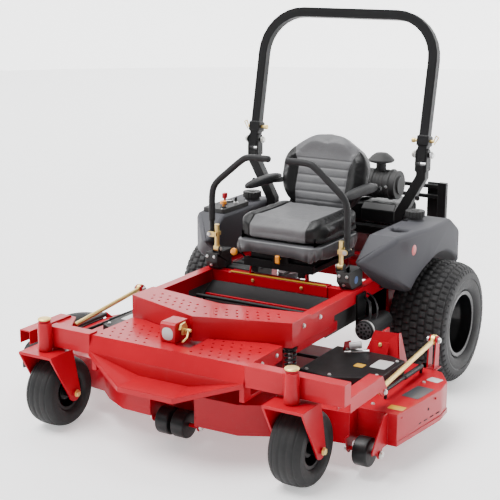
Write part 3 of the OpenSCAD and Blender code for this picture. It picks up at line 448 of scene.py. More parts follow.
@dataclass(frozen=True)
class PlainVinyl(Finish):
    """One tone of coated fabric with soft creases, darkened in the creases by painted shade."""

    rough: float = 0.45

    def dress(self, g: Graph) -> None:
        """Creases by stretched noise under a fine grain; the colour darkens in the creases as painted shade."""
        crease = g.noise(26.0, 6.0, 0.65, (1.0, 1.0, 0.35)).ramp(0.35, 0.75)
        # Painted shade: the base colour darkens by up to 30% where the crease noise is high.
        g.put("Base Color", g.mix(crease * 0.5, self.colour, tuple(c * 0.7 for c in self.colour)))
        g.put("Roughness", self.rough + crease * 0.08)
        g.relief(g.cells(620.0, "SMOOTH_F1") * 0.6 + crease * 1.8, 0.0008, 0.4)


@dataclass(frozen=True)
class Printed(Finish):
    """A printed patch: a plain field with a darker border, slightly scuffed."""

    border: Colour = (0.05, 0.05, 0.05)
    rough: float = 0.35

    def dress(self, g: Graph) -> None:
        """Scuffs let the border colour through in specks."""
        speck = g.noise(180.0, 5.0, 0.7).ramp(0.66, 0.8)
        g.put("Base Color", g.mix(speck * 0.5, self.colour, self.border))
        g.put("Roughness", self.rough + speck * 0.2)
        g.relief(g.noise(300.0), 0.0002, 0.15)


@dataclass(frozen=True)
class Ground(Finish):
    """The studio floor: matt and even, with a faint glow that keeps it pale."""

    glow: float = 0.55

    def dress(self, g: Graph) -> None:
        """A very slight tooth keeps it from looking flat."""
        g.put("Base Color", g.mix(g.noise(2.0).ramp(0.3, 0.7) * 0.15, self.colour, tuple(c * 0.97 for c in self.colour)))
        g.put("Roughness", 0.55)
        g.put("Specular IOR Level", 0.25)
        g.put("Emission Color", (1.0, 1.0, 1.0))
        g.put("Emission Strength", self.glow)


RED = Enamel("red_enamel", (0.44, 0.0006, 0.012), rough=0.36, coat=0.14)
BLACK = PowderCoat("black_powder_coat", (0.0055, 0.0055, 0.006))
BLACK_GLOSS = Enamel("black_enamel", (0.0035, 0.0035, 0.004), rough=0.30, coat=0.28, dust=0.02)
TANK = Moulded("tank_plastic", (0.0034, 0.0035, 0.0040), rough=0.42, grain=360.0)
PLASTIC = Moulded("black_plastic", (0.0045, 0.0045, 0.005), rough=0.48)
COWL = Moulded("cowl_plastic", (0.008, 0.008, 0.0085), rough=0.44)
TREAD = Rubber("tread_rubber", (0.020, 0.020, 0.021), 0.62, (0.060, 0.058, 0.056), 0.40)
WHEEL_RUBBER = Rubber("caster_rubber", (0.012, 0.012, 0.0125), 0.6, (0.045, 0.043, 0.041), 0.22)
ROLLER = Rubber("roller_rubber", (0.006, 0.006, 0.0065), 0.36, (0.03, 0.03, 0.03), 0.15)
FOAM = Rubber("grip_foam", (0.011, 0.011, 0.012), 0.56, (0.03, 0.03, 0.03), 0.12)
CHUTE = Rubber("chute_rubber", (0.018, 0.0185, 0.02), 0.5, (0.05, 0.05, 0.05), 0.2)
GOLD = Plated("gold_zinc", (0.83, 0.60, 0.27), (0.86, 0.70, 0.42), 0.28)
ZINC = Plated("bright_zinc", (0.66, 0.67, 0.68), (0.55, 0.54, 0.50), 0.26)
EXHAUST = Plated("exhaust_steel", (0.42, 0.41, 0.40), (0.30, 0.25, 0.20), 0.38)
BLADE = Plated("blade_steel", (0.28, 0.28, 0.29), (0.18, 0.17, 0.16), 0.35, (0.1, 1.0, 1.0))
ALLOY = Casting("engine_alloy", (0.30, 0.30, 0.31))
IRON = Casting("drive_casting", (0.07, 0.07, 0.075), metal=0.3)
ORANGE = Moulded("orange_plastic", (0.62, 0.13, 0.004), rough=0.32)
# Near-black marks that stand for the shade inside holes and slots: painted shade.
SHADOW = Moulded("slot_black", (0.004, 0.004, 0.004), rough=0.8)
GREY_VINYL = PlainVinyl("skirt_vinyl", (0.085, 0.085, 0.09), rough=0.28)
WHITE_PATCH = Printed("white_patch", (0.50, 0.50, 0.50), (0.35, 0.35, 0.36))
GREY_PATCH = Printed("grey_patch", (0.045, 0.048, 0.055), (0.1, 0.1, 0.11))
YELLOW_PATCH = Printed("yellow_patch", (0.55, 0.30, 0.02), (0.3, 0.2, 0.05))
RED_PATCH = Printed("red_patch", (0.42, 0.03, 0.03), (0.6, 0.5, 0.5))
BLUE_PATCH = Printed("blue_patch", (0.10, 0.16, 0.34), (0.6, 0.6, 0.62))
FLOOR = Ground("studio_floor", (0.90, 0.90, 0.905))


# ---------------------------------------------------------------- surfaces


def make_mesh(name: str, points: Array, faces: Sequence[Sequence[int]], merge: float = 1e-6) -> bpy.types.Mesh:
    """Makes a mesh, merges its doubles and points its faces outwards.

    Args:
        name: the mesh's name.
        points: vertices, one row each.
        faces: vertex numbers of each face.
        merge: distance under which vertices join.

    Returns:
        The finished mesh, smooth shaded.
    """
    mesh = bpy.data.meshes.new(name)
    mesh.from_pydata(np.asarray(points, float).reshape(-1, 3).tolist(), [], faces)
    shell = bmesh.new()
    shell.from_mesh(mesh)
    bmesh.ops.remove_doubles(shell, verts=shell.verts, dist=merge)
    bmesh.ops.recalc_face_normals(shell, faces=shell.faces)
    shell.to_mesh(mesh)
    shell.free()
    mesh.shade_smooth()
    return mesh


def grid_faces(rows: int, cols: int, wrap_rows: bool, wrap_cols: bool) -> list[list[int]]:
    """Quads of a grid of vertices, joined round where asked."""
    idx = np.arange(rows * cols).reshape(rows, cols)
    if wrap_rows:
        idx = np.vstack([idx, idx[:1]])
    if wrap_cols:
        idx = np.hstack([idx, idx[:, :1]])
    return np.stack([idx[:-1, :-1], idx[:-1, 1:], idx[1:, 1:], idx[1:, :-1]], -1).reshape(-1, 4).tolist()


def grid_mesh(name: str, grid: Array, wrap_rows: bool = False, wrap_cols: bool = True,
              caps: bool = True) -> bpy.types.Mesh:
    """Makes a mesh from a grid of points, each row a ring.

    Args:
        name: the mesh's name.
        grid: points as rows x columns x 3.
        wrap_rows: joins the last row to the first.
        wrap_cols: joins the last column to the first.
        caps: closes the first and last rings.

    Returns:
        The mesh.
    """
    rows, cols = grid.shape[:2]
    faces = grid_faces(rows, cols, wrap_rows, wrap_cols)
    if caps and not wrap_rows and wrap_cols:
        faces += [list(range(cols))[::-1], list(range((rows - 1) * cols, rows * cols))]
    return make_mesh(name, grid, faces)


def circle(r: float, n: int) -> Array:
    """A ring of n points at radius r."""
    a = np.linspace(0.0, 2.0 * math.pi, n, endpoint=False)
    return np.stack([np.cos(a), np.sin(a)], -1) * r


def soft_square(half: float, corner: float, n: int = 6) -> Array:
    """A square ring of half-width half whose corners are arcs of radius corner."""
    a = np.linspace(0.0, math.pi / 2, n)
    turn = np.arange(4)[:, None] * (math.pi / 2)
    mid = (half - corner) * math.sqrt(2.0)
    cx = np.cos(turn + math.pi / 4) * mid
    cy = np.sin(turn + math.pi / 4) * mid
    return np.stack([cx + corner * np.cos(turn + a), cy + corner * np.sin(turn + a)], -1).reshape(-1, 2)


def sweep(path: Array, ring: Array, up: Place, scale: Optional[Array] = None, closed: bool = False) -> Array:
    """Carries a ring along a path.

    The ring's first axis is up with its part along the path taken away; the second is square to both.

    Args:
        path: points of the path.
        ring: 2-D points of the section.
        up: the direction the section keeps facing.
        scale: size of the section at each point.
        closed: whether the path's ends meet.

    Returns:
        A grid of points, one ring per path point.
    """
    step = np.roll(path, -1, 0) - np.roll(path, 1, 0) if closed else np.gradient(path, axis=0)
    t = step / np.linalg.norm(step, axis=1, keepdims=True)
    u = np.asarray(up, float) - t * (t @ np.asarray(up, float))[:, None]
    u /= np.linalg.norm(u, axis=1, keepdims=True)
    v = np.cross(t, u)
    k = np.ones(len(path)) if scale is None else scale
    return (path[:, None, :] + k[:, None, None] * (ring[None, :, 0:1] * u[:, None, :] + ring[None, :, 1:2] * v[:, None, :]))


def bend_path(points: Sequence[Place], radius: float, steps: int = 10) -> Array:
    """A path of straight runs whose corners are quadratic curves that start radius away.

    Args:
        points: the corners.
        radius: how far from a corner its curve begins.
        steps: points on each curve.

    Returns:
        The path's points.
    """
    p = np.asarray(points, float)
    runs: list[Array] = [p[:1]]
    t = np.linspace(0.0, 1.0, steps)[:, None]
    for before, here, after in zip(p[:-2], p[1:-1], p[2:]):
        reach_a = min(radius, 0.48 * float(np.linalg.norm(before - here)))
        reach_b = min(radius, 0.48 * float(np.linalg.norm(after - here)))
        a = here + (before - here) / np.linalg.norm(before - here) * reach_a
        b = here + (after - here) / np.linalg.norm(after - here) * reach_b
        runs.append((1 - t) ** 2 * a + 2 * t * (1 - t) * here + t ** 2 * b)
    runs.append(p[-1:])
    return np.vstack(runs)


def lathe(profile: Sequence[tuple[float, float]], centre: Place, axis: Axis, n: int = 64) -> Array:
    """Turns a profile of (distance along, radius) about an axis through centre."""
    prof = np.asarray(profile, float)
    a = np.linspace(0.0, 2.0 * math.pi, n, endpoint=False)
    grid = np.zeros((len(prof), n, 3))
    first, second = (axis.value + 1) % 3, (axis.value + 2) % 3
    grid[..., axis.value] = prof[:, :1]
    grid[..., first] = prof[:, 1:2] * np.cos(a)
    grid[..., second] = prof[:, 1:2] * np.sin(a)
    return grid + np.asarray(centre, float)


def piece(mesh: bpy.types.Mesh, body: str, finish: Finish,
          sharp: Optional[float] = 40.0) -> bpy.types.Object:
    """Puts a mesh in the scene on a body.

    Args:
        mesh: the mesh, already in place.
        body: the CAD body it rides on.
        finish: its finish.
        sharp: edges over this angle in degrees stay sharp; None leaves all smooth.

    Returns:
        The object.
    """
    made = bpy.data.objects.new(mesh.name, mesh)
    bpy.context.scene.collection.objects.link(made)
    mesh.materials.clear()
    mesh.materials.append(finish.material())
    if sharp is not None:
        mesh.set_sharp_from_angle(angle=math.radians(sharp))
    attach(made, body)
    return made


def body_of(node: str) -> str:
    """The body that a CAD node belongs to."""
    return str(frame["nodes"][node]["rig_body"])


def softened(node: str, finish: Finish, width: float = 0.0016, segments: int = 2) -> bpy.types.Object:
    """Stands a copy of a CAD node in its place, with merged faces and rounded edges.

    Args:
        node: the CAD node.
        finish: its finish.
        width: how wide the edge rounding is.
        segments: how many faces round an edge.

    Returns:
        The new object.
    """
    source = frame["nodes"][node].data
    count = len(source.vertices)
    co = np.zeros(count * 3)
    source.vertices.foreach_get("co", co)
    corners = np.zeros(len(source.loops), int)
    source.loops.foreach_get("vertex_index", corners)
    mesh = bpy.data.meshes.new(f"{node}_skin")
    mesh.from_pydata(co.reshape(-1, 3).tolist(), [], corners.reshape(-1, 3).tolist())
    shell = bmesh.new()
    shell.from_mesh(mesh)
    bmesh.ops.remove_doubles(shell, verts=shell.verts, dist=2e-5)
    bmesh.ops.dissolve_limit(shell, angle_limit=math.radians(0.4), verts=shell.verts, edges=shell.edges)
    shell.to_mesh(mesh)
    shell.free()
    mesh.shade_smooth()
    made = piece(mesh, body_of(node), finish, 35.0)
    if width:
        edge = made.modifiers.new("edges", "BEVEL")
        edge.width = width
        edge.segments = segments
        edge.limit_method = "ANGLE"
        edge.angle_limit = math.radians(38.0)
        edge.use_clamp_overlap = False
        edge.harden_normals = True
    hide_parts(node)
    return made


def scatter(name: str, template: Array, faces: list[list[int]], places: Array, normals: Array,
            sizes: Array) -> bpy.types.Mesh:
    """Repeats a small template at many places, turned to their normals.

    Args:
        name: the mesh's name.
        template: points of one copy, standing along +Z.
        faces: faces of one copy.
        places: where each copy stands.
        normals: which way each copy points.
        sizes: scale of each copy.

    Returns:
        One mesh of all the copies.
    """
    n = normals / np.linalg.norm(normals, axis=1, keepdims=True)
    helper = np.where(np.abs(n[:, 2:3]) < 0.9, [[0.0, 0.0, 1.0]], [[1.0, 0.0, 0.0]])
    u = np.cross(helper, n)
    u /= np.linalg.norm(u, axis=1, keepdims=True)
    v = np.cross(n, u)
    basis = np.stack([u, v, n], 1)
    points = np.einsum("pk,mkc->mpc", template, basis) * sizes[:, None, None] + places[:, None, :]
    base = (np.arange(len(places)) * len(template)).tolist()
    every = [[i + b for i in f] for b in base for f in faces]
    return make_mesh(name, points, every)


def hex_head() -> tuple[Array, list[list[int]]]:
    """A washer and a chamfered hexagon head, one unit across the washer's radius."""
    a6 = np.linspace(0, 2 * math.pi, 12, endpoint=False)
    flat = 1.0 / np.cos((a6 + math.pi / 6) % (math.pi / 3) - math.pi / 6)
    rows = [(0.0, 1.0, 0), (0.16, 1.0, 0), (0.17, 0.72, 1), (0.60, 0.72, 1), (0.70, 0.60, 0), (0.70, 0.02, 0)]
    grid = np.array([[[np.cos(t) * r * (k if h else 1), np.sin(t) * r * (k if h else 1), z]
                      for t, k in zip(a6, flat)] for z, r, h in rows])
    faces = grid_faces(len(rows), 12, False, True)
    faces.append(list(range(12))[::-1])
    faces.append(list(range(60, 72)))
    return grid.reshape(-1, 3), faces


def bolts(name: str, body: str, spots: Sequence[tuple[Place, Place, float]], finish: Finish = ZINC) -> bpy.types.Object:
    """Hex heads at given spots.

    Args:
        name: the piece's name.
        body: the body they ride on.
        spots: place, direction and washer radius of each, in machine places.
        finish: their plating.

    Returns:
        The object.
    """
    template, faces = hex_head()
    places = at([s[0] for s in spots])
    mesh = scatter(name, template, faces, places, np.array([s[1] for s in spots], float),
                   np.array([s[2] for s in spots], float))
    return piece(mesh, body, finish, 30.0)


def patch(name: str, body: str, centre: Place, normal: Place, up: Place, size: tuple[float, float],
          finish: Finish, round_to: float = 0.2, thick: float = 0.0006) -> bpy.types.Object:
    """A thin printed patch with rounded corners, lying on a surface.

    The outline is a superellipse of the two half sizes, extruded by its thickness.
    """
    n = np.asarray(normal, float) / np.linalg.norm(normal)
    v = np.asarray(up, float) - n * float(np.dot(up, n))
    v /= np.linalg.norm(v)
    u = np.cross(v, n)
    a = np.linspace(0, 2 * math.pi, 48, endpoint=False)
    x = signed_power(np.cos(a), round_to) * size[0] / 2
    y = signed_power(np.sin(a), round_to) * size[1] / 2
    rim = x[:, None] * u + y[:, None] * v
    grid = np.stack([rim, rim + n * thick, rim * 0.985 + n * thick * 1.3]) + at(centre)
    return piece(grid_mesh(name, grid), body, finish, 30.0)


# ---------------------------------------------------------------- wheels


@dataclass
class DriveTyre:
    """A turf tyre: rounded section with rows of staggered blocks over the crown and shoulders."""

    side: Side
    r_out: float = 0.305
    bead: float = 0.152
    half_w: float = 0.149
    rows: int = 9
    around: int = 52
    groove: float = 0.0120

    def section(self) -> tuple[Array, Array, Array]:
        """A squarish superellipse between bead and crown, sampled finely over the crown.

        Returns:
            Offsets along the axle, radii, and the arc length from the crown's middle.
        """
        mid, half_h = (self.r_out + self.bead) / 2, (self.r_out - self.bead) / 2
        phi = np.linspace(-math.pi / 2, 1.5 * math.pi, 4001)
        x = self.half_w * signed_power(np.cos(phi), 0.62)
        r = mid + half_h * signed_power(np.sin(phi), 0.52)
        r += np.where(r > mid, -0.010 * (np.abs(x) / self.half_w) ** 3, 0.0)
        arc = np.concatenate([[0.0], np.cumsum(np.hypot(np.diff(x), np.diff(r)))])
        arc -= np.interp(math.pi / 2, phi, arc)
        crown = 0.172
        where = np.concatenate([
            np.linspace(arc[0], -crown, 28, endpoint=False),
            np.linspace(-crown, crown, 100, endpoint=False),
            np.linspace(crown, arc[-1], 28, endpoint=False)])
        return np.interp(where, arc, x), np.interp(where, arc, r), where

    def build(self) -> bpy.types.Object:
        """Blocks are soft boxes in arc length and turn; every other row is half a block on."""
        x, r, arc = self.section()
        turn = np.linspace(0.0, 2.0 * math.pi, self.around * 11, endpoint=False)
        row = (arc / 0.040) + 0.5
        which = np.floor(row)
        across = row - which
        along = (turn[:, None] * self.around / (2 * math.pi) + 0.5 * (which[None, :] % 2)) % 1.0
        edge_a = smooth(0.06, 0.17, across) * smooth(0.06, 0.17, 1.0 - across)
        edge_b = smooth(0.07, 0.19, along) * smooth(0.07, 0.19, 1.0 - along)
        tread = smooth(0.168, 0.160, np.abs(arc))
        sunk = self.groove * (1.0 - edge_a[None, :] * edge_b) * tread[None, :]
        dome = 0.0012 * np.cos((across - 0.5) * math.pi)[None, :] * tread[None, :]
        rib = 0.0022 * np.exp(-((np.abs(arc) - 0.192) / 0.004) ** 2) + 0.002 * np.exp(-((np.abs(arc) - 0.222) / 0.003) ** 2)
        outward = np.stack([x / self.half_w, (r - 0.228) / 0.077], -1)
        outward /= np.linalg.norm(outward, axis=1, keepdims=True)
        lift = dome - sunk - 0.0012 + rib[None, :]
        xs = x[None, :] + outward[None, :, 0] * lift * 0.35
        rs = r[None, :] + outward[None, :, 1] * lift
        low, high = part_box(f"rear_tyre_{self.side.word}")
        c = (low + high) / 2
        grid = np.stack([c.x + xs, c.y + rs * np.cos(turn)[:, None], c.z + rs * np.sin(turn)[:, None]], -1)
        mesh = grid_mesh(f"drive_tyre_{self.side.word}", grid, True, True, False)
        made = piece(mesh, f"rear_wheel_{self.side.word}", TREAD, None)
        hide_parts(f"rear_tyre_{self.side.word}")
        return made


@dataclass
class CasterTyre:
    """A smooth ribbed front tyre, run-flat style, with two narrow grooves."""

    side: Side
    r_out: float = 0.163
    bead: float = 0.076
    half_w: float = 0.0755

    def build(self) -> bpy.types.Object:
        """A rounder superellipse turned about the axle, with grooves cut by narrow bells."""
        phi = np.linspace(0.0, 2.0 * math.pi, 120, endpoint=False)
        mid, half_h = (self.r_out + self.bead) / 2, (self.r_out - self.bead) / 2
        x = self.half_w * signed_power(np.cos(phi), 0.68)
        r = mid + half_h * signed_power(np.sin(phi), 0.66)
        crown = r > mid + half_h * 0.5
        grooves = sum(np.exp(-((np.abs(x) - g) / 0.0026) ** 2) for g in (0.016, 0.046))
        r = r - np.where(crown, 0.0035 * grooves, 0.0) - 0.0004
        shoulder = np.exp(-((r - mid - half_h * 0.45) / 0.0016) ** 2) * 0.0016
        x = x + np.sign(x) * shoulder
        low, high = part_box(f"caster_tyre_{self.side.word}")
        c = (low + high) / 2
        a = np.linspace(0.0, 2 * math.pi, 144, endpoint=False)
        grid = np.stack([np.broadcast_to(c.x + x, (144, 120)), c.y + r * np.cos(a)[:, None], c.z + r * np.sin(a)[:, None]], -1)
        mesh = grid_mesh(f"front_tyre_{self.side.word}", grid, True, True, False)
        made = piece(mesh, f"caster_wheel_{self.side.word}", WHEEL_RUBBER, None)
        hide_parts(f"caster_tyre_{self.side.word}")
        return made


@dataclass
class Wheels:
    """Drive wheels and casters, with their rims, nuts and caps."""

    swivel_x: float = 0.626
    swivel_y: float = -1.523

    def well(self, side: Side) -> bpy.types.Object:
        """Rolled steps inside a drive rim's barrel, as a closed turned ring."""
        steps = [(0.0845, 0.1398), (0.066, 0.1385), (0.058, 0.1310), (0.022, 0.1290), (0.014, 0.1190), (-0.004, 0.1170),
                 (-0.004, 0.1215), (0.008, 0.1240), (0.017, 0.1335), (0.052, 0.1345), (0.058, 0.1398)]
        profile = [(side.value * (0.604 + x) + float(DATUM[0]), r) for x, r in steps]
        low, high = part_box(f"rear_tyre_{side.word}")
        grid = lathe(profile, (0.0, (low.y + high.y) / 2, (low.z + high.z) / 2), Axis.X, 96)
        return piece(grid_mesh(f"rim_well_{side.word}", grid, True, True, False), f"rear_wheel_{side.word}",
                     BLACK_GLOSS, 60.0)

    def build(self) -> None:
        """Builds both sides."""
        for side in Side:
            DriveTyre(side).build()
            CasterTyre(side).build()
            softened(f"rear_rim_{side.word}", BLACK_GLOSS, 0.0012)
            softened(f"caster_rim_{side.word}", BLACK_GLOSS, 0.0008)
            self.well(side)
            softened(f"caster_fork_{side.word}", RED, 0.002, 3)
            s = side.value
            body = f"caster_{side.word}"
            cap = lathe([(0.0, 0.0), (0.0, 0.030), (0.004, 0.030), (0.0075, 0.027), (0.009, 0.018), (0.009, 0.0)],
                        tuple(at((s * self.swivel_x, self.swivel_y, 0.5155))), Axis.Z, 48)
            piece(grid_mesh(f"swivel_cap_{side.word}", cap, caps=False), "chassis", GOLD)
            y, z = -1.442, 0.163
            bolts(f"caster_bolts_{side.word}", body, [
                ((s * self.swivel_x + 0.103, y, z), (1, 0, 0), 0.017), ((s * self.swivel_x - 0.103, y, z), (-1, 0, 0), 0.017)], GOLD)


# ---------------------------------------------------------------- seat


class SoftForm:
    """Turns a closed shape into a stuffed one by remeshing and inflating it."""

    @staticmethod
    def rounded(half: Place, plan: float, wall: float, rows: int = 48, cols: int = 128) -> Array:
        """A superellipsoid: squareness in plan and in height by the powers of its sines and cosines."""
        phi = np.linspace(-math.pi / 2, math.pi / 2, rows)[:, None]
        theta = np.linspace(0, 2 * math.pi, cols, endpoint=False)[None, :]
        ring = np.abs(np.cos(phi)) ** wall
        x = half[0] * signed_power(np.cos(theta), plan) * ring
        y = half[1] * signed_power(np.sin(theta), plan) * ring
        z = half[2] * signed_power(np.sin(phi), wall) * np.ones_like(theta)
        return np.stack([x, y, z], -1)

    @staticmethod
    def inflate(obj: bpy.types.Object, voxel: float, pressure: float, cap: float, flat_below: Optional[float] = None) -> None:
        """Remeshes the shape, swells it as pressured cloth and limits how far a point moves.

        Args:
            obj: the piece.
            voxel: size of the new mesh's faces.
            pressure: how hard it is blown up.
            cap: the most that a point may move.
            flat_below: height under which points keep their place.
        """
        scene = bpy.context.scene
        view = bpy.context.view_layer
        for other in bpy.context.selected_objects:
            other.select_set(False)
        view.objects.active = obj
        obj.select_set(True)
        skin = obj.modifiers.new("skin", "REMESH")
        skin.mode = "VOXEL"
        skin.voxel_size = voxel
        bpy.ops.object.modifier_apply(modifier="skin")
        relax = obj.modifiers.new("relax", "SMOOTH")
        relax.iterations = 6
        bpy.ops.object.modifier_apply(modifier="relax")
        count = len(obj.data.vertices)
        before = np.zeros(count * 3)
        obj.data.vertices.foreach_get("co", before)
        before = before.reshape(-1, 3)
        cloth = obj.modifiers.new("cloth", "CLOTH")
        cloth.settings.quality = 4
        cloth.settings.mass = 0.3
        cloth.settings.tension_stiffness = 12
        cloth.settings.compression_stiffness = 12
        cloth.settings.shear_stiffness = 5
        cloth.settings.bending_stiffness = 0.4
        cloth.settings.use_pressure = True
        cloth.settings.uniform_pressure_force = pressure
        cloth.settings.effector_weights.gravity = 0.0
        cloth.point_cache.frame_start = 1
        cloth.point_cache.frame_end = 20
        for f in range(1, 21):
            scene.frame_set(f)
        shape = obj.evaluated_get(bpy.context.evaluated_depsgraph_get())
        after = np.zeros(count * 3)
        shape.data.vertices.foreach_get("co", after)
        after = after.reshape(-1, 3)
        obj.modifiers.remove(cloth)
        scene.frame_set(1)
        move = after - before
        length = np.linalg.norm(move, axis=1, keepdims=True)
        move *= np.minimum(1.0, cap / np.maximum(length, 1e-9))
        if flat_below is not None:
            move *= smooth(flat_below, flat_below + 0.03, before[:, 2])[:, None]
        obj.data.vertices.foreach_set("co", (before + move).ravel())
        obj.data.update()

    @staticmethod
    def carve(obj: bpy.types.Object, depth: Callable[[Array], Array]) -> None:
        """Moves each point along its normal by a depth worked out from all points at once."""
        count = len(obj.data.vertices)
        co = np.zeros(count * 3)
        normal = np.zeros(count * 3)
        obj.data.vertices.foreach_get("co", co)
        obj.data.vertex_normals.foreach_get("vector", normal)
        co = co.reshape(-1, 3)
        co = co + normal.reshape(-1, 3) * depth(co)[:, None]
        obj.data.vertices.foreach_set("co", co.ravel())
        obj.data.update()

    @staticmethod
    def finish(obj: bpy.types.Object) -> None:
        """Smooth shading and one subdivision."""
        obj.data.shade_smooth()
        fine = obj.modifiers.new("fine", "SUBSURF")
        fine.levels = 1
        fine.render_levels = 1


def bell(x: Array, middle: float, width: float) -> Array:
    """A bell curve about middle."""
    return np.exp(-((x - middle) / width) ** 2)


@dataclass
class Seat:
    """The operator's seat: cushion, back, armrests, skirt and their stitching."""

    half_w: float = 0.236
    panel: float = 0.152
    lean: float = 16.0
    base_y: float = -0.152
    base_z: float = 0.820
    back_t: float = 0.086
    channels: tuple[float, ...] = (0.052, 0.094, 0.136, 0.178, 0.220, 0.262)

    def cushion(self) -> bpy.types.Object:
        """A crowned pad with raised bolsters and a front that rolls down."""
        low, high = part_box("seat_cushion")
        top, floor_z = high.z, low.z + 0.0065
        front, back = low.y - 0.010, high.y
        shape = SoftForm.rounded((self.half_w - 0.002, (back - front) / 2 - 0.002, (top - floor_z) / 2 - 0.002), 0.34, 0.27)
        x = shape[..., 0]
        y = shape[..., 1]
        z = shape[..., 2]
        u = np.abs(x) / self.half_w
        v = -y / ((back - front) / 2)
        up = smooth(-0.02, 0.03, z)
        z = z + up * (0.012 * smooth(0.55, 0.85, u) - 0.016 * (1 - u ** 2) * (1 - v ** 2) - 0.003)
        z = z - up * 0.016 * smooth(0.72, 1.0, v)
        y = y + 0.012 * smooth(0.0, -0.055, z) * smooth(0.5, 1.0, v)
        grid = np.stack([x, y, z], -1) + np.array([DATUM[0], (front + back) / 2, (top + floor_z) / 2])
        made = piece(grid_mesh("seat_pad", grid, caps=True), "seat", SeatVinyl(
            "seat_pad_vinyl", (0.150, 0.150, 0.155), panel=self.panel), None)
        SoftForm.inflate(made, 0.006, 4.0, 0.010, low.z + 0.02)
        mid_y = front + 0.03

        def seams(p: Array) -> Array:
            """Piped seams where panel meets bolster, one across the front, and shallow pulls beside them."""
            ax = np.abs(p[:, 0] - DATUM[0])
            side = bell(ax, self.panel, 0.0035)
            cord = bell(ax, self.panel + 0.006, 0.003)
            lower = bell(p[:, 2], low.z + 0.030, 0.0035) * smooth(mid_y + 0.09, mid_y, p[:, 1])
            round_lower = bell(p[:, 2], low.z + 0.030, 0.0035) * smooth(0.19, 0.21, ax)
            return -0.0042 * side + 0.0020 * cord - 0.0012 * np.maximum(lower, round_lower)

        SoftForm.carve(made, seams)
        SoftForm.finish(made)
        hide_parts("seat_cushion")
        return made

    def back(self) -> bpy.types.Object:
        """A domed back with side bolsters, leaning to the rear, and sewn channels across its panel."""
        low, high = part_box("seat_back")
        tall = (high.z - self.base_z) / math.cos(math.radians(self.lean)) + 0.012
        shape = SoftForm.rounded((self.half_w - 0.001, self.back_t / 2 - 0.002, tall / 2), 0.42, 0.62, 72, 128)
        x = shape[..., 0]
        t = shape[..., 1]
        h = shape[..., 2] + tall / 2
        share = h / tall
        dome = np.sqrt(np.clip(1.0 - smooth(0.52, 1.0, share) ** 2 * 0.62, 0.05, 1.0))
        x = x * (0.90 + 0.12 * smooth(0.0, 0.5, share)) * dome
        u = np.abs(x) / self.half_w
        fore = smooth(0.01, -0.02, t)
        t = t - fore * 0.024 * smooth(0.58, 0.86, u) * smooth(0.0, 0.12, share) * (1 - smooth(0.6, 0.95, share))
        t = t + fore * 0.010 * bell(share, 0.55, 0.3)
        t = t - fore * 0.014 * smooth(0.72, 0.92, share)
        a = math.radians(self.lean)
        y = self.base_y + (t + self.back_t / 2) * math.cos(a) + h * math.sin(a)
        z = self.base_z + h * math.cos(a) - (t + self.back_t / 2) * math.sin(a)
        grid = at(np.stack([x, y, z], -1))
        vinyl = SeatVinyl("seat_back_vinyl", (0.135, 0.135, 0.14), panel=self.panel - 0.012,
                          flare=-0.42, flare_from=1.03)
        made = piece(grid_mesh("back_pad", grid, caps=True), "backrest", vinyl, None)
        SoftForm.inflate(made, 0.006, 4.0, 0.008)
        base = at((0.0, self.base_y, self.base_z))

        def seams(p: Array) -> Array:
            """Channels run across the panel; seams follow its edges."""
            d = p - base
            up = d[:, 2] * math.cos(a) + d[:, 1] * math.sin(a)
            deep = d[:, 1] * math.cos(a) - d[:, 2] * math.sin(a)
            ax = np.abs(d[:, 0])
            edge = self.panel - 0.012 + 0.42 * np.maximum(p[:, 2] - 1.03, 0.0)
            inside = smooth(0.0, -0.006, ax - edge) * smooth(0.045, 0.025, deep)
            rows = sum(bell(up, c, 0.0035) for c in self.channels)
            puff = 0.0022 * np.abs(np.sin((up - self.channels[0]) * math.pi / 0.042))
            within = smooth(0.03, 0.05, up) * smooth(0.275, 0.262, up)
            side = bell(ax, edge, 0.0035) * smooth(0.06, 0.04, deep) * smooth(0.02, 0.05, up)
            return inside * (puff * within - 0.0040 * rows) - 0.0042 * side

        SoftForm.carve(made, seams)
        SoftForm.finish(made)
        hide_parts("seat_back")
        return made

    def armrest(self, side: Side) -> bpy.types.Object:
        """A long rounded pad, thinner to the front, with a bracket down to its pivot."""
        low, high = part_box(f"armrest_{side.word}")
        mid = (low + high) / 2
        length = high.y - low.y
        shape = SoftForm.rounded((0.0275, length / 2 - 0.002, 0.024), 0.62, 0.66, 28, 96)
        v = (shape[..., 1] / (length / 2) + 1) / 2
        x = shape[..., 0] * (0.86 + 0.14 * np.sin(np.clip(v, 0, 1) * math.pi))
        z = shape[..., 2] * (0.78 + 0.34 * v) + 0.004 * np.sin(v * math.pi)
        centre_x = mid.x + side.value * 0.003
        top = high.z - 0.026
        grid = np.stack([x + centre_x, shape[..., 1] + mid.y, z + top], -1)
        made = piece(grid_mesh(f"arm_pad_{side.word}", grid, caps=True), f"arm_{side.word}", FOAM, None)
        SoftForm.carve(made, lambda p: -0.0012 * bell(p[:, 2], top - 0.004, 0.0022))
        SoftForm.finish(made)
        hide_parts(f"armrest_{side.word}")
        pivot = at((side.value * 0.243, -0.060, 0.950))
        blade = np.array([(-0.020, -0.018), (0.020, -0.018), (0.024, 0.006), (-0.10, 0.010), (-0.15, -0.002)])
        ring = np.array([[pivot[0] + side.value * dx, pivot[1] + p[0], pivot[2] + p[1]]
                         for dx in (0.001, 0.009) for p in blade]).reshape(2, 5, 3)
        arm = piece(grid_mesh(f"arm_bracket_{side.word}", ring), f"arm_{side.word}", BLACK)
        bolts(f"arm_pivot_{side.word}", f"arm_{side.word}", [
            ((side.value * 0.300, -0.060, 0.950), (side.value, 0, 0), 0.014)], BLACK)
        return arm

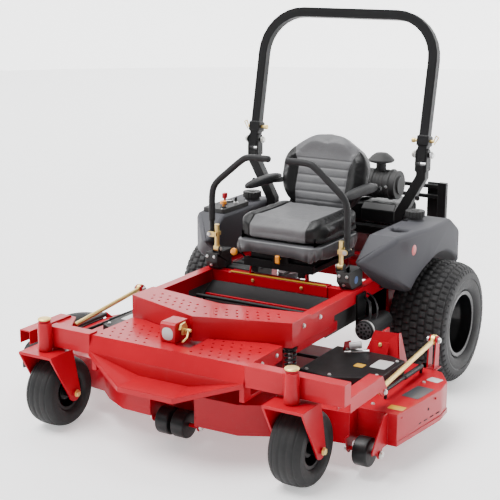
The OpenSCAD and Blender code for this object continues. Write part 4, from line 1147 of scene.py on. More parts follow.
    def skirt(self) -> bpy.types.Object:
        """A vinyl skirt that tucks in under the cushion and hangs round the seat frame in waves."""
        n, rows = 220, 20
        a = np.linspace(0, 2 * math.pi, n, endpoint=False)
        cx, cy = 0.0, -0.342
        x = 0.228 * signed_power(np.cos(a), 0.22)
        y = 0.232 * signed_power(np.sin(a), 0.22)
        u = np.linspace(0.0, 1.0, rows)[:, None]
        turn = np.clip(u / 0.25, 0.0, 1.0) * math.pi / 2
        v = np.clip((u - 0.25) / 0.75, 0.0, 1.0)
        fold = 0.0050 * np.sin(a * 17 + 1.3) + 0.0045 * np.sin(a * 9 + 0.4) + 0.002 * np.sin(a * 31)
        out = 0.80 + 0.20 * np.sin(turn) + 0.022 * np.sin(v * math.pi * 0.8) - 0.034 * v ** 2
        drop = 0.7425 - 0.008 * (1.0 - np.cos(turn)) - 0.062 * v - 0.008 * v * np.sin(a * 5 + 0.8)
        unit = np.stack([np.cos(a), np.sin(a)], -1)
        gx = cx + x * out + unit[:, 0] * fold * v
        gy = cy + y * out + unit[:, 1] * fold * v
        grid = at(np.stack([gx, gy, np.broadcast_to(drop, gx.shape)], -1))
        made = piece(grid_mesh("seat_skirt", grid, caps=False), "seat_frame", GREY_VINYL, None)
        wall = made.modifiers.new("wall", "SOLIDIFY")
        wall.thickness = 0.0018
        return made

    def build(self) -> None:
        """Builds the whole seat."""
        self.cushion()
        self.back()
        self.skirt()
        for side in Side:
            self.armrest(side)
        softened("seat_base", BLACK, 0.0015)
        softened("seat_latch", ORANGE, 0.0015, 3)
        knob = lathe([(0.0, 0.0), (0.0, 0.017), (-0.006, 0.019), (-0.014, 0.0165), (-0.017, 0.010), (-0.017, 0.0)],
                     tuple(at((-0.240, -0.548, 0.665))), Axis.Y, 40)
        piece(grid_mesh("weight_knob", knob, caps=False), "seat_frame", ORANGE)
        stem = sweep(at(np.array([(-0.240, -0.549, 0.665), (-0.215, -0.53, 0.66), (-0.19, -0.53, 0.64)])), circle(0.005, 12), (0, 0, 1))
        piece(grid_mesh("weight_stem", stem), "seat_frame", BLACK)


# ---------------------------------------------------------------- controls


@dataclass
class Controls:
    """Steering levers, lap bars, console and hand controls."""

    x: float = 0.372
    y: float = -0.548
    swing_z: float = 0.742
    top: float = 1.139

    def lap_bar(self, side: Side) -> bpy.types.Object:
        """A tube from the swing joint up, in over the lap, with a thicker grip that ends in a cap."""
        s = side.value
        x, y = self.x, self.y
        path = bend_path([
            (s * x, y, self.swing_z + 0.002), (s * (x - 0.002), y, 0.950), (s * (x - 0.022), y, 0.996),
            (s * (x - 0.172), y, self.top - 0.018), (s * (x - 0.205), y, self.top), (s * 0.040, y, self.top)], 0.05, 12)
        gap = np.concatenate([[0.0], np.cumsum(np.linalg.norm(np.diff(path, axis=0), axis=1))])
        fine = np.concatenate([np.linspace(0, gap[-1] - 0.012, 150), gap[-1] - 0.012 + 0.012 * np.sin(np.linspace(0.1, 1, 8) * math.pi / 2)])
        path = np.stack([np.interp(fine, gap, path[:, i]) for i in range(3)], -1)
        size = 0.0115 + 0.0045 * smooth(0.055, 0.066, fine)
        end = (fine - (gap[-1] - 0.012)) / 0.012
        size = np.where(end > 0, size * np.sqrt(np.clip(1 - (end * 0.97) ** 2, 0, 1)), size)
        ring = circle(1.0, 28)
        tube = grid_mesh(f"lap_tube_{side.word}", sweep(at(path), ring, (0, 1, 0), size))
        made = piece(tube, f"bar_{side.word}", FOAM, 50.0)
        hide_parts(f"lap_bar_{side.word}")
        sleeve = lathe([(-0.017, 0.0066), (-0.017, 0.0150), (-0.015, 0.0170), (0.015, 0.0170), (0.017, 0.0150), (0.017, 0.0066)],
                       tuple(at((s * x, y, self.swing_z))), Axis.Y, 40)
        piece(grid_mesh(f"lap_sleeve_{side.word}", sleeve, True, True, False), f"bar_{side.word}", BLACK)
        return made

    def console(self) -> None:
        """Gauges, switches and the key on the right tank."""
        softened("side_console", PLASTIC, 0.002, 3)
        softened("throttle_lever", RED, 0.0012, 3)
        softened("pto_knob", ORANGE, 0.0015, 3)
        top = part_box("side_console")[1].z - DATUM[2]
        top -= 0.008
        dial = lathe([(0.0, 0.0), (0.0, 0.026), (0.006, 0.026), (0.008, 0.024), (0.008, 0.022), (0.004, 0.021), (0.004, 0.0)],
                     tuple(at((-0.500, -0.190, top))), Axis.Z, 48)
        piece(grid_mesh("hour_dial", dial, caps=False), "chassis", BLACK_GLOSS)
        patch("dial_face", "chassis", (-0.500, -0.190, top + 0.0042), (0, 0, 1), (0, 1, 0), (0.038, 0.038), WHITE_PATCH, 1.0)
        key = lathe([(0.0, 0.0), (0.0, 0.013), (0.006, 0.012), (0.006, 0.0)], tuple(at((-0.445, -0.205, top))), Axis.Z, 32)
        piece(grid_mesh("key_barrel", key, caps=False), "chassis", ZINC)
        grip = np.array([(-0.0012, -0.011), (0.0012, -0.011), (0.0012, 0.011), (-0.0012, 0.011)])
        leaf = np.stack([np.column_stack([grip[:, 0], grip[:, 1] * k, np.full(4, z)]) for z, k in ((0.004, 0.5), (0.012, 0.55), (0.014, 1.0), (0.028, 1.0), (0.031, 0.7))])
        piece(grid_mesh("ignition_key", leaf + at((-0.445, -0.205, top))), "chassis", BLACK)
        spots = [((-0.430, -0.365, top), (0, 0, 1), 0.005), ((-0.530, -0.365, top), (0, 0, 1), 0.005),
                 ((-0.430, -0.130, top), (0, 0, 1), 0.005), ((-0.530, -0.130, top), (0, 0, 1), 0.005)]
        bolts("console_screws", "chassis", spots)

    def build(self) -> None:
        """Builds both sides."""
        for side in Side:
            self.lap_bar(side)
            softened(f"drive_lever_{side.word}", GOLD, 0.0010)
            s = side.value
            bolts(f"lever_bolts_{side.word}", f"lever_{side.word}", [
                ((s * self.x, self.y - 0.027, self.swing_z), (0, -1, 0), 0.011),
                ((s * self.x, self.y + 0.027, self.swing_z), (0, 1, 0), 0.011)], ZINC)
            x0 = s * 0.322
            bolts(f"control_bolts_{side.word}", "chassis", [
                ((s * 0.345, -0.5725, 0.628), (0, -1, 0.1), 0.008), ((s * 0.385, -0.5725, 0.628), (0, -1, 0.1), 0.008),
                ((s * 0.365, -0.564, 0.585), (0, -1, -0.4), 0.008), ((x0, self.y, 0.668), (-s, 0, 0), 0.010)], ZINC)
        softened("control_boxes", PLASTIC, 0.003, 3)
        patch("round_badge", "chassis", (0.3985, -0.500, 0.600), (1, 0, 0), (0, 0, 1), (0.036, 0.036), BLUE_PATCH, 1.0)
        self.console()


# ---------------------------------------------------------------- shared fittings


def tube(name: str, body: str, points: Sequence[Place], r: float, finish: Finish, slot: str,
         bend: float = 0.04) -> bpy.types.Object:
    """A round tube, hose or rod through points, fixed at both ends.

    Args:
        name: the piece's name.
        body: the body it rides on.
        points: corners in machine places.
        r: its radius.
        finish: its finish.
        slot: the record's material slot; not used.
        bend: how far from a corner its curve starts.

    Returns:
        The object.
    """
    path = bend_path(points, bend, 8)
    mesh = grid_mesh(name, sweep(at(path), circle(r, 16), (0.53, 0.31, 0.79)))
    return piece(mesh, body, finish, 50.0)


def strip(name: str, body: str, points: Sequence[Place], tall: float, thick: float, finish: Finish) -> bpy.types.Object:
    """A flat bar on edge that follows points, tall along Z."""
    ring = np.array([(-tall, -thick), (tall, -thick), (tall, thick), (-tall, thick)]) / 2
    mesh = grid_mesh(name, sweep(at(np.asarray(points, float)), ring, (0, 0, 1)))
    return piece(mesh, body, finish, 30.0)


def block(name: str, body: str, low: Place, high: Place, finish: Finish,
          rounding: float = 0.002) -> bpy.types.Object:
    """A rectangular block with rounded edges between two machine places."""
    lo, hi = at(low), at(high)
    ring = [(lo[0], lo[1]), (hi[0], lo[1]), (hi[0], hi[1]), (lo[0], hi[1])]
    grid = np.array([[(x, y, z) for x, y in ring] for z in (lo[2], hi[2])])
    made = piece(grid_mesh(name, grid), body, finish, 30.0)
    edge = made.modifiers.new("edges", "BEVEL")
    edge.width = rounding
    edge.segments = 3
    edge.harden_normals = True
    return made


def turned(name: str, body: str, profile: Sequence[tuple[float, float]], centre: Place, axis: Axis,
           finish: Finish, n: int = 48) -> bpy.types.Object:
    """A turned piece whose profile starts and ends on its axis."""
    grid = lathe(profile, tuple(at(centre)), axis, n)
    return piece(grid_mesh(name, grid, caps=False), body, finish, 30.0)


def slots(name: str, body: str, spots: Sequence[Place], normal: Place, size: tuple[float, float],
          finish: Finish = SHADOW) -> bpy.types.Object:
    """Dark oval marks at several places on one face; with the default SHADOW finish they are painted shade standing in
    for recesses and holes.
    """
    a = np.linspace(0, 2 * math.pi, 24, endpoint=False)
    x = signed_power(np.cos(a), 0.6) * size[0] / 2
    y = signed_power(np.sin(a), 0.6) * size[1] / 2
    rim = np.stack([x, y, np.zeros(24)], -1)
    template = np.vstack([rim, rim * 0.97 + [0, 0, 0.0006]])
    faces = grid_faces(2, 24, False, True) + [list(range(24))[::-1], list(range(24, 48))]
    places = at(spots)
    mesh = scatter(name, template, faces, places, np.tile(np.asarray(normal, float), (len(places), 1)),
                   np.ones(len(places)))
    return piece(mesh, body, finish, 30.0)


# ---------------------------------------------------------------- roll bar


@dataclass
class RollBar:
    """The two-post roll bar with its folding hoop, pins and bolts."""

    x: float = 0.480
    y: float = 0.049
    fold_z: float = 1.120

    def build(self) -> None:
        """Builds the posts, hoop, pins, pivot bolts and foot bolts."""
        softened("rops_base", BLACK, 0.0035, 3)
        softened("rops_hoop", BLACK, 0.0045, 3)
        softened("rops_pins", GOLD, 0.0008)
        for side in Side:
            s = side.value
            bolts(f"fold_bolts_{side.word}", "chassis", [
                ((s * 0.523, self.y, self.fold_z), (s, 0, 0), 0.019),
                ((s * 0.437, self.y, self.fold_z), (-s, 0, 0), 0.019)], ZINC)
            bolts(f"post_bolts_{side.word}", "chassis", [
                ((s * 0.470, 0.021, z), (0, -1, 0), 0.013) for z in (0.640, 0.700, 0.905)], BLACK)


# ---------------------------------------------------------------- rear end


@dataclass
class RearEnd:
    """Engine, exhaust, guard, drives, battery and the deck's lift motor."""

    engine_y: float = 0.265

    def cowl(self) -> None:
        """The cowl, its round screen with radial vents, and clips; the screen's holes and the side vents are dark marks
        of painted shade.
        """
        softened("engine_cowl", COWL, 0.005, 3)
        softened("engine_block", ALLOY, 0.0012)
        a = np.linspace(0, 2 * math.pi, 40, endpoint=False)
        spots = [(float(math.cos(t) * r), float(self.engine_y + math.sin(t) * r), 0.8381)
                 for r in (0.045, 0.066, 0.087) for t in a[:: 1 if r > 0.06 else 2]]
        # The screen's holes are dark discs: painted shade of the holes.
        slots("screen_holes", "chassis", spots, (0, 0, 1), (0.0075, 0.0075))
        turned("screen_hub", "chassis", [(0.0, 0.0), (0.0, 0.030), (0.004, 0.028), (0.006, 0.018), (0.006, 0.0)],
               (0.0, self.engine_y, 0.838), Axis.Z, ZINC)
        for side in Side:
            s = side.value
            # The side vents are dark slot marks: painted shade of the vents.
            vents = [(s * 0.3052, 0.150 + 0.028 * i, 0.765) for i in range(8)]
            slots(f"cowl_vents_{side.word}", "chassis", vents, (s, 0, 0), (0.012, 0.042))
            bolts(f"cowl_bolts_{side.word}", "chassis", [
                ((s * 0.3052, 0.122, 0.748), (s, 0, 0), 0.007), ((s * 0.3052, 0.390, 0.748), (s, 0, 0), 0.007)])

    def breather(self) -> None:
        """The air cleaner canister with its bands, end latches and intake hose."""
        softened("air_cleaner", PLASTIC, 0.003, 3)
        low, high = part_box("air_cleaner")
        mid = (low + high) / 2
        z = low.z + 0.080
        ribs = np.concatenate([np.array([[x - 0.003, 0.0735], [x - 0.0015, 0.0757], [x + 0.0015, 0.0757], [x + 0.003, 0.0735]])
                               for x in (0.100, 0.115, 0.130, 0.175, 0.195, 0.215)])
        ring = np.vstack([ribs, [[0.218, 0.070], [0.097, 0.070]]])
        grid = lathe([(x + DATUM[0], r) for x, r in ring], (0.0, mid.y, z), Axis.X, 64)
        piece(grid_mesh("cleaner_ribs", grid, True, True, False), "chassis", PLASTIC, 30.0)
        y = float(mid.y - DATUM[1])
        bolts("cleaner_clips", "chassis", [((0.155, y - 0.0805, z), (0, -1, 0), 0.008), ((0.246, y - 0.0805, z), (0, -1, 0), 0.008)])
        tube("intake_hose", "chassis", [(0.092, y, z), (0.040, y, z), (0.020, y + 0.02, z - 0.03), (0.020, y + 0.05, 0.838)],
             0.026, PLASTIC, "black_plastic", 0.05)

    def drives(self) -> None:
        """Transaxle castings with ribs, fans, pulleys' bolts and hydraulic hoses."""
        softened("hydro_drives", IRON, 0.002)
        for side in Side:
            s = side.value
            tube(f"drive_hose_{side.word}", "chassis", [
                (s * 0.250, -0.050, 0.340), (s * 0.250, -0.120, 0.360), (s * 0.180, -0.160, 0.470), (s * 0.130, -0.120, 0.497)],
                0.009, PLASTIC, "black_plastic", 0.05)
            bolts(f"drive_bolts_{side.word}", "chassis", [
                ((s * 0.284, 0.070 * math.cos(t), 0.305 + 0.070 * math.sin(t)), (-s, 0, 0), 0.008)
                for t in np.linspace(0, 2 * math.pi, 6, endpoint=False) + 0.5])
        softened("battery", PLASTIC, 0.004, 3)
        block("battery_strap", "chassis", (-0.348, -0.398, 0.5605), (-0.162, -0.382, 0.563), BLACK, 0.0008)
        tube("battery_lead", "chassis", [(-0.195, -0.340, 0.570), (-0.190, -0.300, 0.585), (-0.140, -0.200, 0.540), (-0.130, -0.150, 0.502)],
             0.0055, ROLLER, "rubber", 0.04)

    def exhaust(self) -> None:
        """Muffler, its seams and outlet, the guard over it, and dark slot marks of painted shade on the muffler."""
        softened("muffler", EXHAUST, 0.003, 3)
        for x in (-0.185, 0.185):
            grid = lathe([(x - 0.004, 0.053), (x - 0.003, 0.0565), (x + 0.003, 0.0565), (x + 0.004, 0.053)],
                         tuple(at((0.0, 0.470, 0.640))), Axis.X, 64)
            piece(grid_mesh(f"muffler_seam_{'right' if x < 0 else 'left'}", grid, True, True, False), "chassis", EXHAUST)
        softened("engine_guard", BLACK, 0.003, 3)
        bolts("guard_bolts", "chassis", [((s * 0.395, 0.5605, z), (0, 1, 0), 0.011) for s in (1, -1) for z in (0.72, 0.80, 0.86)])
        # A row of dark slot marks on the muffler: painted shade of its slots.
        slot_shade_spots = [(x, 0.5245, 0.640) for x in np.linspace(-0.14, 0.14, 7)]
        slots("muffler_marks", "chassis", slot_shade_spots, (0, 1, 0), (0.004, 0.030))

    def lift(self) -> None:
        """The deck's lift motor with a vented end, whose holes are dark marks of painted shade, and its cables."""
        softened("lift_motor", BLACK, 0.0025, 3)
        y = -0.6221
        # The vented end's holes are dark discs: painted shade of the holes.
        holes = [(0.500 + r * math.cos(t), y, 0.400 + r * math.sin(t))
                 for r, n in ((0.014, 5), (0.031, 10)) for t in np.linspace(0, 2 * math.pi, n, endpoint=False)]
        turned("motor_face", "chassis", [(0.0, 0.0), (0.0, 0.040), (-0.0015, 0.040), (-0.0020, 0.039), (-0.0020, 0.0)],
               (0.500, -0.6200, 0.400), Axis.Y, IRON)
        slots("motor_holes", "chassis", holes, (0, -1, 0), (0.0105, 0.0105))
        turned("motor_band", "chassis", [(-0.006, 0.0), (-0.006, 0.0455), (-0.004, 0.0463), (0.004, 0.0463), (0.006, 0.0455), (0.006, 0.0)],
               (0.500, -0.600, 0.400), Axis.Y, ZINC)
        tube("motor_cable", "chassis", [(0.500, -0.560, 0.440), (0.500, -0.550, 0.475), (0.470, -0.500, 0.505), (0.430, -0.470, 0.515)],
             0.007, ROLLER, "rubber", 0.03)
        tube("motor_cable_thin", "chassis", [(0.520, -0.540, 0.438), (0.525, -0.520, 0.480), (0.480, -0.470, 0.520), (0.430, -0.440, 0.525)],
             0.0045, ROLLER, "rubber", 0.03)

    def build(self) -> None:
        """Builds the whole rear end."""
        self.cowl()
        self.breather()
        self.drives()
        self.exhaust()
        self.lift()


# ---------------------------------------------------------------- tanks


@dataclass
class Tanks:
    """The two moulded fuel tanks with caps, screws and a red disc."""

    out: float = 0.612

    def build(self) -> None:
        """Builds both tanks."""
        for side in Side:
            s = side.value
            softened(f"fuel_tank_{side.word}", TANK, 0.020, 5)
            softened(f"fuel_cap_{side.word}", PLASTIC, 0.0022, 3)
            turned(f"cap_boss_{side.word}", f"cap_{side.word}", [
                (0.0, 0.0), (0.0, 0.020), (0.0025, 0.019), (0.0030, 0.015), (0.0030, 0.0)],
                (s * 0.470, 0.0, 0.848), Axis.Z, PLASTIC)
            bolts(f"tank_bolts_{side.word}", "chassis", [
                ((s * 0.4015, -0.380, 0.620), (-s, 0, 0), 0.010), ((s * 0.4015, -0.120, 0.620), (-s, 0, 0), 0.010)])
        patch("tank_disc", "chassis", (self.out + 0.0002, -0.330, 0.735), (1, 0, 0), (0, 0, 1), (0.050, 0.050), RED_PATCH, 1.0)


# ---------------------------------------------------------------- front end


@dataclass
class FrontEnd:
    """Frame, platform, caster carrier, floor and their fittings."""

    spring_x: float = 0.400
    spring_y: float = -1.129

    def spring(self, side: Side) -> bpy.types.Object:
        """A helical spring between two cups round a guide rod."""
        s = side.value
        x, y = s * self.spring_x, self.spring_y
        turns, n = 5.5, 420
        t = np.linspace(0, 1, n)
        pitch = np.interp(t, [0, 0.10, 0.90, 1], [0, 0.05, 0.95, 1])
        a = t * turns * 2 * math.pi
        path = np.stack([x + 0.0225 * np.cos(a), y + 0.0225 * np.sin(a), 0.350 + 0.094 * pitch], -1)
        mesh = grid_mesh(f"coil_{side.word}", sweep(at(path), circle(0.0050, 14), (0, 0, 1)))
        coil = piece(mesh, "chassis", BLACK_GLOSS, 50.0)
        for z, word in ((0.343, "low"), (0.449, "high")):
            turned(f"spring_cup_{word}_{side.word}", "chassis", [(-0.003, 0.0), (-0.003, 0.0295), (0.003, 0.0295), (0.003, 0.0)],
                   (x, y, z), Axis.Z, BLACK)
        turned(f"spring_rod_{side.word}", "chassis", [(-0.051, 0.0), (-0.051, 0.010), (0.051, 0.010), (0.051, 0.0)],
               (x, y, 0.397), Axis.Z, ZINC, 32)
        return coil

    def floor(self) -> None:
        """Floor pan with its lip, wear strip, bolts and foot bar."""
        softened("floor_pan", BLACK, 0.0012)
        softened("floor_lip", RED, 0.0015, 3)
        block("lip_strip", "chassis", (-0.264, -0.5530, 0.5605), (0.264, -0.5400, 0.5640), YELLOW_PATCH, 0.0006)
        bolts("lip_bolts", "chassis", [((s * 0.135, -0.5522, 0.534), (0, -1, 0), 0.009) for s in (1, -1)], GOLD)
        rows = [(float(x), float(y), 0.4552) for x in np.arange(-0.30, 0.31, 0.05) for y in np.arange(-1.0, -0.78, 0.04)]
        slots("floor_studs", "chassis", rows, (0, 0, 1), (0.022, 0.006), BLACK_GLOSS)

    def prow(self) -> bpy.types.Object:
        """Folded sheet over the platform's front: upright panel, three hood facets and the lip under them.

        Each facet is a flat polygon, thickened outwards, so the folds between them stay crisp.
        """
        wide, low, lip = 0.3945, 0.1280, 0.1380
        shell = bmesh.new()
        for ring, out in (
            ([(-wide, -1.4838, 0.4730), (wide, -1.4838, 0.4730), (wide, -1.5070, 0.4010), (-wide, -1.5070, 0.4010)], (0, -1, 0.3)),
            ([(-wide, -1.5070, 0.4012), (wide, -1.5070, 0.4012), (low, -1.5070, 0.3350), (-low, -1.5070, 0.3350)], (0, -1, 0)),
            ([(-low, -1.5070, 0.3400), (low, -1.5070, 0.3400), (lip, -1.6435, 0.3325), (-lip, -1.6435, 0.3325)], (0, 0, 1)),
            ([(low, -1.5070, 0.3400), (wide, -1.5070, 0.4035), (lip, -1.6435, 0.3325)], (-0.24, 0, 1)),
            ([(-low, -1.5070, 0.3400), (-wide, -1.5070, 0.4035), (-lip, -1.6435, 0.3325)], (0.24, 0, 1)),
            ([(wide, -1.5075, 0.4045), (lip, -1.6435, 0.3335), (lip, -1.6435, 0.3110), (wide, -1.5075, 0.3840)], (0.47, -0.88, 0)),
            ([(-wide, -1.5075, 0.4045), (-lip, -1.6435, 0.3335), (-lip, -1.6435, 0.3110), (-wide, -1.5075, 0.3840)], (-0.47, -0.88, 0)),
            ([(-lip, -1.6435, 0.3335), (lip, -1.6435, 0.3335), (lip, -1.6435, 0.3110), (-lip, -1.6435, 0.3110)], (0, -1, 0)),
        ):
            off = np.asarray(out, float) / np.linalg.norm(out)
            near, far = [[shell.verts.new(tuple(c)) for c in at(np.array(ring) + off * k)] for k in (0.0004, 0.0016)]
            shell.faces.new(near)
            shell.faces.new(far[::-1])
            for i in range(len(near)):
                j = (i + 1) % len(near)
                shell.faces.new([near[j], near[i], far[i], far[j]])
        bmesh.ops.recalc_face_normals(shell, faces=shell.faces)
        mesh = bpy.data.meshes.new("platform_prow")
        shell.to_mesh(mesh)
        shell.free()
        return piece(mesh, "chassis", RED, 5.0)

    def build(self) -> None:
        """Builds the whole front end."""
        softened("main_frame", RED, 0.0018, 3)
        softened("front_platform", RED, 0.0)
        self.prow()
        softened("caster_carrier", RED, 0.0022, 3)
        softened("latch_box", RED, 0.0035, 3)
        softened("tilt_latch", GOLD, 0.001)
        coils = [self.spring(side) for side in Side]
        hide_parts("support_springs")
        self.floor()
        patch("latch_plate", "chassis", (-0.049, -1.4023, 0.512), (0, -1, 0), (0, 0, 1), (0.056, 0.056), WHITE_PATCH, 0.8)
        for side in Side:
            s = side.value
            block(f"side_shield_{side.word}", "chassis", (min(s * 0.372, s * 0.379), -0.765, 0.385),
                  (max(s * 0.372, s * 0.379), -0.440, 0.5), PLASTIC, 0.0015)
            bolts(f"rail_bolts_{side.word}", "chassis", [
                ((s * 0.4202, y, 0.530), (s, 0, 0), 0.011) for y in (-1.05, -0.90, -0.46)], ZINC)
            bolts(f"carrier_bolts_{side.word}", "chassis", [
                ((s * 0.3945, y, 0.445), (s, 0, 0), 0.010) for y in (-1.36, -1.24)], ZINC)
            bolts(f"link_pivot_{side.word}", "chassis", [
                ((s * 0.8462, -1.128, 0.335), (s, 0, 0), 0.013)], ZINC)


# ---------------------------------------------------------------- deck


@dataclass
class Deck:
    """The mowing deck with its belt covers, chute, blades, rollers and links."""

    top: float = 0.260
    skirt: tuple[tuple[float, float], ...] = ((0.918, -1.162), (0.960, -0.800), (0.950, -0.700), (0.880, -0.590), (0.760, -0.545))

    def left_face(self) -> tuple[Array, Array]:
        """The long left skirt's start and its unit direction, in plan."""
        a, b = np.array(self.skirt[0]), np.array(self.skirt[1])
        return a, (b - a) / np.linalg.norm(b - a)

    def skirt_marks(self) -> None:
        """Lip band, slots, holes and bolts on the left skirt; the slots and holes are dark marks of painted shade."""
        start, way = self.left_face()
        normal = (float(way[1]), float(-way[0]), 0.0)
        off = np.array(normal[:2])
        band = [(x + 0.0005, y, 0.131) for x, y in self.skirt]
        strip("skirt_band", "deck", band, 0.020, 0.005, RED)
        # The skirt's slots are dark dashes: painted shade of the slots.
        dashes = [tuple(start + way * d + off * 0.0004) + (0.163,) for d in np.arange(0.03, 0.35, 0.052)]
        slots("skirt_slots", "deck", [(float(a), float(b), c) for a, b, c in dashes], normal, (0.034, 0.006))
        # The two holes are dark discs: painted shade of the holes.
        pair = [tuple(start + way * d + off * 0.0004) + (0.205,) for d in (0.10, 0.26)]
        slots("skirt_holes", "deck", [(float(a), float(b), c) for a, b, c in pair], normal, (0.013, 0.013))
        bolts("skirt_bolts", "deck", [((*[float(v) for v in start + way * d], 0.235), normal, 0.006) for d in (0.04, 0.32)], RED)

    def hump(self) -> bpy.types.Object:
        """The chute's moulded top: a shell that swells towards the middle of its length."""
        t = np.linspace(0.0, 1.0, 28)[None, :]
        v = np.linspace(0.0, 1.0, 40)[:, None]
        x = -0.924 - 0.134 * t ** 0.9
        crest = 0.072 * np.sin(v * math.pi) ** 0.75 * (1.0 - 0.25 * v)
        z = 0.118 + 0.156 * (1.0 - t ** 3.4) + crest * 4.0 * t * (1.0 - t)
        grid = at(np.stack(np.broadcast_arrays(x, -1.199 + 0.498 * v, z), -1))
        made = piece(grid_mesh("chute_top", grid, False, False, False), "chute", CHUTE, None)
        wall = made.modifiers.new("wall", "SOLIDIFY")
        wall.thickness = 0.005
        return made

    def plate(self, name: str, corners: Sequence[Place], away: Place, body: str = "deck") -> bpy.types.Object:
        """A red plate through its corners, 6 mm thick towards away."""
        face = at(corners)
        off = np.asarray(away, float) / np.linalg.norm(away) * 0.006
        return piece(grid_mesh(name, np.stack([face, face + off])), body, RED, 30.0)

    def lift_gear(self) -> None:
        """The pressed lift brackets behind the covers, with their cross pin and roller."""
        for side in Side:
            s = side.value
            word = side.word
            self.plate(f"gusset_face_{word}", [(s * 0.520, -0.700, 0.262), (s * 0.690, -0.640, 0.262), (s * 0.655, -0.585, 0.405),
                                               (s * 0.560, -0.625, 0.415)], (0.3 * s, -1, 0.3))
            self.plate(f"gusset_side_{word}", [(s * 0.690, -0.640, 0.262), (s * 0.690, -0.560, 0.262), (s * 0.655, -0.560, 0.400),
                                               (s * 0.655, -0.585, 0.405)], (s, 0, 0.2))
            self.plate(f"lift_arm_{word}", [(s * 0.560, -0.664, 0.300), (s * 0.640, -0.660, 0.300), (s * 0.640, -0.640, 0.372),
                                            (s * 0.560, -0.640, 0.372)], (0, -1, 0.2))
            self.plate(f"lift_ear_{word}", [(s * 0.448, -0.716, 0.296), (s * 0.448, -0.640, 0.296), (s * 0.448, -0.640, 0.352),
                                            (s * 0.448, -0.700, 0.362)], (-s, 0, 0))
            tube(f"lift_pin_{word}", "deck", [(s * 0.455, -0.722, 0.318), (s * 0.560, -0.682, 0.330)], 0.0085, ZINC, "zinc")
            tube(f"lift_roller_{word}", "deck", [(s * 0.478, -0.716, 0.352), (s * 0.528, -0.694, 0.360)], 0.017, WHITE_PATCH, "zinc")
            bolts(f"lift_bolts_{word}", "deck", [((s * 0.620, -0.676, 0.300), (0.3 * s, -1, 0.3), 0.010),
                                                 ((s * 0.600, -0.650, 0.360), (0.3 * s, -1, 0.3), 0.010)], GOLD)

    def tops(self) -> None:
        """Covers with plain patches, edge bolts and the deck's own small plates."""
        for side in Side:
            s = side.value
            spots = [(s * 0.42, -1.02), (s * 0.54, -1.035), (s * 0.72, -0.94), (s * 0.72, -0.73), (s * 0.45, -0.69)]
            bolts(f"cover_bolts_{side.word}", "deck", [((x, y, 0.3240), (0, 0, 1), 0.009) for x, y in spots], ZINC)
            bolts(f"deck_bolts_{side.word}", "deck", [
                ((s * x, y, 0.2602), (0, 0, 1), 0.009) for x, y in ((0.70, -1.12), (0.60, -1.20), (0.40, -1.24), (0.86, -0.75), (0.78, -1.10))], ZINC)
            patch(f"cover_patch_{side.word}", "deck", (s * 0.680, -0.800, 0.3241), (0, 0, 1), (0, 1, 0), (0.075, 0.110), WHITE_PATCH)
            patch(f"cover_spot_{side.word}", "deck", (s * 0.600, -0.860, 0.3241), (0, 0, 1), (0, 1, 0), (0.045, 0.045), YELLOW_PATCH)
        patch("deck_plate", "deck", (0.888, -0.880, 0.2603), (0, 0, 1), (0.1, 1, 0), (0.082, 0.150), GREY_PATCH, 0.12)
        patch("deck_tag", "deck", (0.885, -1.090, 0.2603), (0, 0, 1), (0, 1, 0), (0.070, 0.045), YELLOW_PATCH)
        patch("deck_tag_rear", "deck", (0.890, -0.700, 0.2603), (0, 0, 1), (0.2, 1, 0), (0.060, 0.050), WHITE_PATCH)

    def build(self) -> None:
        """Builds the deck and everything that hangs on it."""
        softened("deck_shell", RED, 0.0020, 3)
        softened("belt_covers", BLACK, 0.0030, 3)
        softened("deck_belt", ROLLER, 0.0008)
        softened("discharge_chute", CHUTE, 0.0022, 3)
        for word in ("left", "centre", "right"):
            softened(f"blade_{word}", BLADE, 0.0010)
        for place in ("front_left", "front_right", "side_left", "side_right"):
            softened(f"roller_{place}", ROLLER, 0.0015)
        for side in Side:
            s = side.value
            softened(f"lift_link_{side.word}", GOLD, 0.0012)
            bolts(f"roller_nuts_{side.word}", "deck", [
                ((s * 0.882, -1.232, 0.104), (s, 0, 0), 0.016), ((s * 0.732, -1.232, 0.104), (-s, 0, 0), 0.016)])
            bolts(f"link_nuts_{side.word}", "deck", [
                ((s * 0.841, -0.548, 0.392), (s, 0, 0), 0.014), ((s * 0.795, -0.548, 0.392), (-s, 0, 0), 0.014)])
        bolts("front_roller_nuts", "deck", [((0.094, -1.368, 0.104), (1, 0, 0), 0.016), ((-0.155, -1.368, 0.104), (-1, 0, 0), 0.016)])
        self.hump()
        self.lift_gear()
        self.skirt_marks()
        self.tops()


# ---------------------------------------------------------------- studio


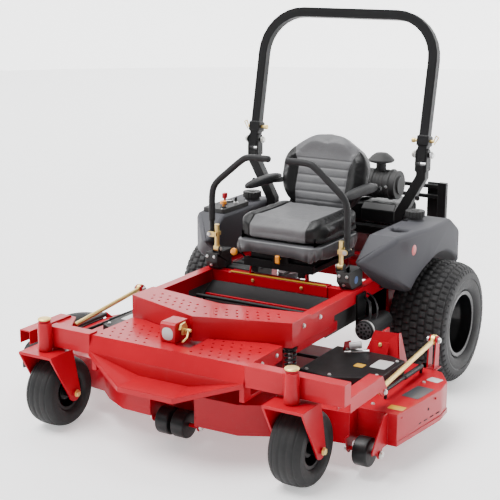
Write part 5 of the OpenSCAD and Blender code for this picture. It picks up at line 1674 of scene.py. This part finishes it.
@dataclass
class Studio:
    """Floor, soft lights and camera."""

    turn: float = 31.10
    rise: float = 14.14
    distance: float = 5.875
    lens: float = 87.7
    target: Place = (-0.133, -0.581, 0.693)
    dome: float = 0.28
    wall: float = 2.0

    def light(self, name: str, place: Place, aim: Place, size: tuple[float, float], power: float) -> None:
        """A rectangular area light aimed at a place."""
        data = bpy.data.lights.new(name, "AREA")
        data.shape = "RECTANGLE"
        data.size, data.size_y = size
        data.energy = power
        made = bpy.data.objects.new(name, data)
        bpy.context.scene.collection.objects.link(made)
        where = Vector(at(place))
        made.location = where
        made.rotation_euler = (Vector(at(aim)) - where).to_track_quat("-Z", "Y").to_euler()

    def backdrop(self) -> None:
        """A pale curved wall far behind the machine, bright enough to read as white."""
        span = np.linspace(-1.35, 1.35, 60) + math.radians(self.turn)
        x, y = -np.sin(span) * 16.0, np.cos(span) * 16.0
        grid = np.stack([np.stack([x, y, np.full(60, z)], -1) for z in (-0.02, 14.0)])
        mesh = grid_mesh("backdrop", grid, False, False, False)
        g = Graph("backdrop_white")
        g.put("Base Color", (0.9, 0.9, 0.9))
        g.put("Emission Color", (1.0, 1.0, 1.0))
        g.put("Emission Strength", self.wall)
        mesh.materials.append(g.material)
        sheet = bpy.data.objects.new("backdrop", mesh)
        bpy.context.scene.collection.objects.link(sheet)

    def build(self) -> None:
        """Sets the floor, world, lights and camera."""
        reach = 40.0
        corners = np.array([(-reach, -reach, 0.0), (reach, -reach, 0.0), (reach, reach, 0.0), (-reach, reach, 0.0)])
        mesh = make_mesh("floor", corners, [[0, 1, 2, 3]])
        mesh.materials.append(FLOOR.material())
        ground = bpy.data.objects.new("floor", mesh)
        bpy.context.scene.collection.objects.link(ground)
        world = bpy.data.worlds.new("studio")
        world.use_nodes = True
        world.node_tree.nodes["Background"].inputs["Color"].default_value = (1.0, 1.0, 1.0, 1.0)
        world.node_tree.nodes["Background"].inputs["Strength"].default_value = self.dome
        bpy.context.scene.world = world
        self.backdrop()
        sun = bpy.data.lights.new("sun", "SUN")
        sun.energy = 5.0
        sun.angle = math.radians(38.0)
        high = bpy.data.objects.new("sun", sun)
        bpy.context.scene.collection.objects.link(high)
        high.rotation_euler = Vector((0.35, 0.30, -1.0)).to_track_quat("-Z", "Y").to_euler()
        self.light("side", (4.6, 0.4, 2.6), (0, -0.4, 0.4), (1.4, 2.8), 70.0)
        self.light("front", (-1.6, -5.2, 3.0), (0, -0.8, 0.3), (3.2, 1.2), 36.0)
        self.light("top", (-0.4, 0.4, 5.2), (0, -0.4, 0.4), (2.6, 2.6), 110.0)
        a, e = math.radians(self.turn), math.radians(self.rise)
        flat = self.distance * math.cos(e)
        eye = np.asarray(self.target) + [flat * math.sin(a), -flat * math.cos(a), self.distance * math.sin(e)]
        data = bpy.data.cameras.new("camera")
        data.lens = self.lens
        data.sensor_width = 36.0
        camera = bpy.data.objects.new("camera", data)
        bpy.context.scene.collection.objects.link(camera)
        camera.location = Vector(at(eye))
        camera.rotation_euler = (Vector(at(self.target)) - camera.location).to_track_quat("-Z", "Y").to_euler()
        bpy.context.scene.camera = camera


# ---------------------------------------------------------------- main


def main() -> None:
    """Builds every sub-assembly in turn."""
    logging.basicConfig(level=logging.INFO, format="%(name)s %(message)s")
    for part in (FrontEnd(), Wheels(), Deck(), Tanks(), RearEnd(), RollBar(), Seat(), Controls(), Studio()):
        log.info("building %s", type(part).__name__)
        before = len(bpy.data.objects)
        part.build()
        log.info("%s made %d objects", type(part).__name__, len(bpy.data.objects) - before)


if __name__ == "__main__":
    main()
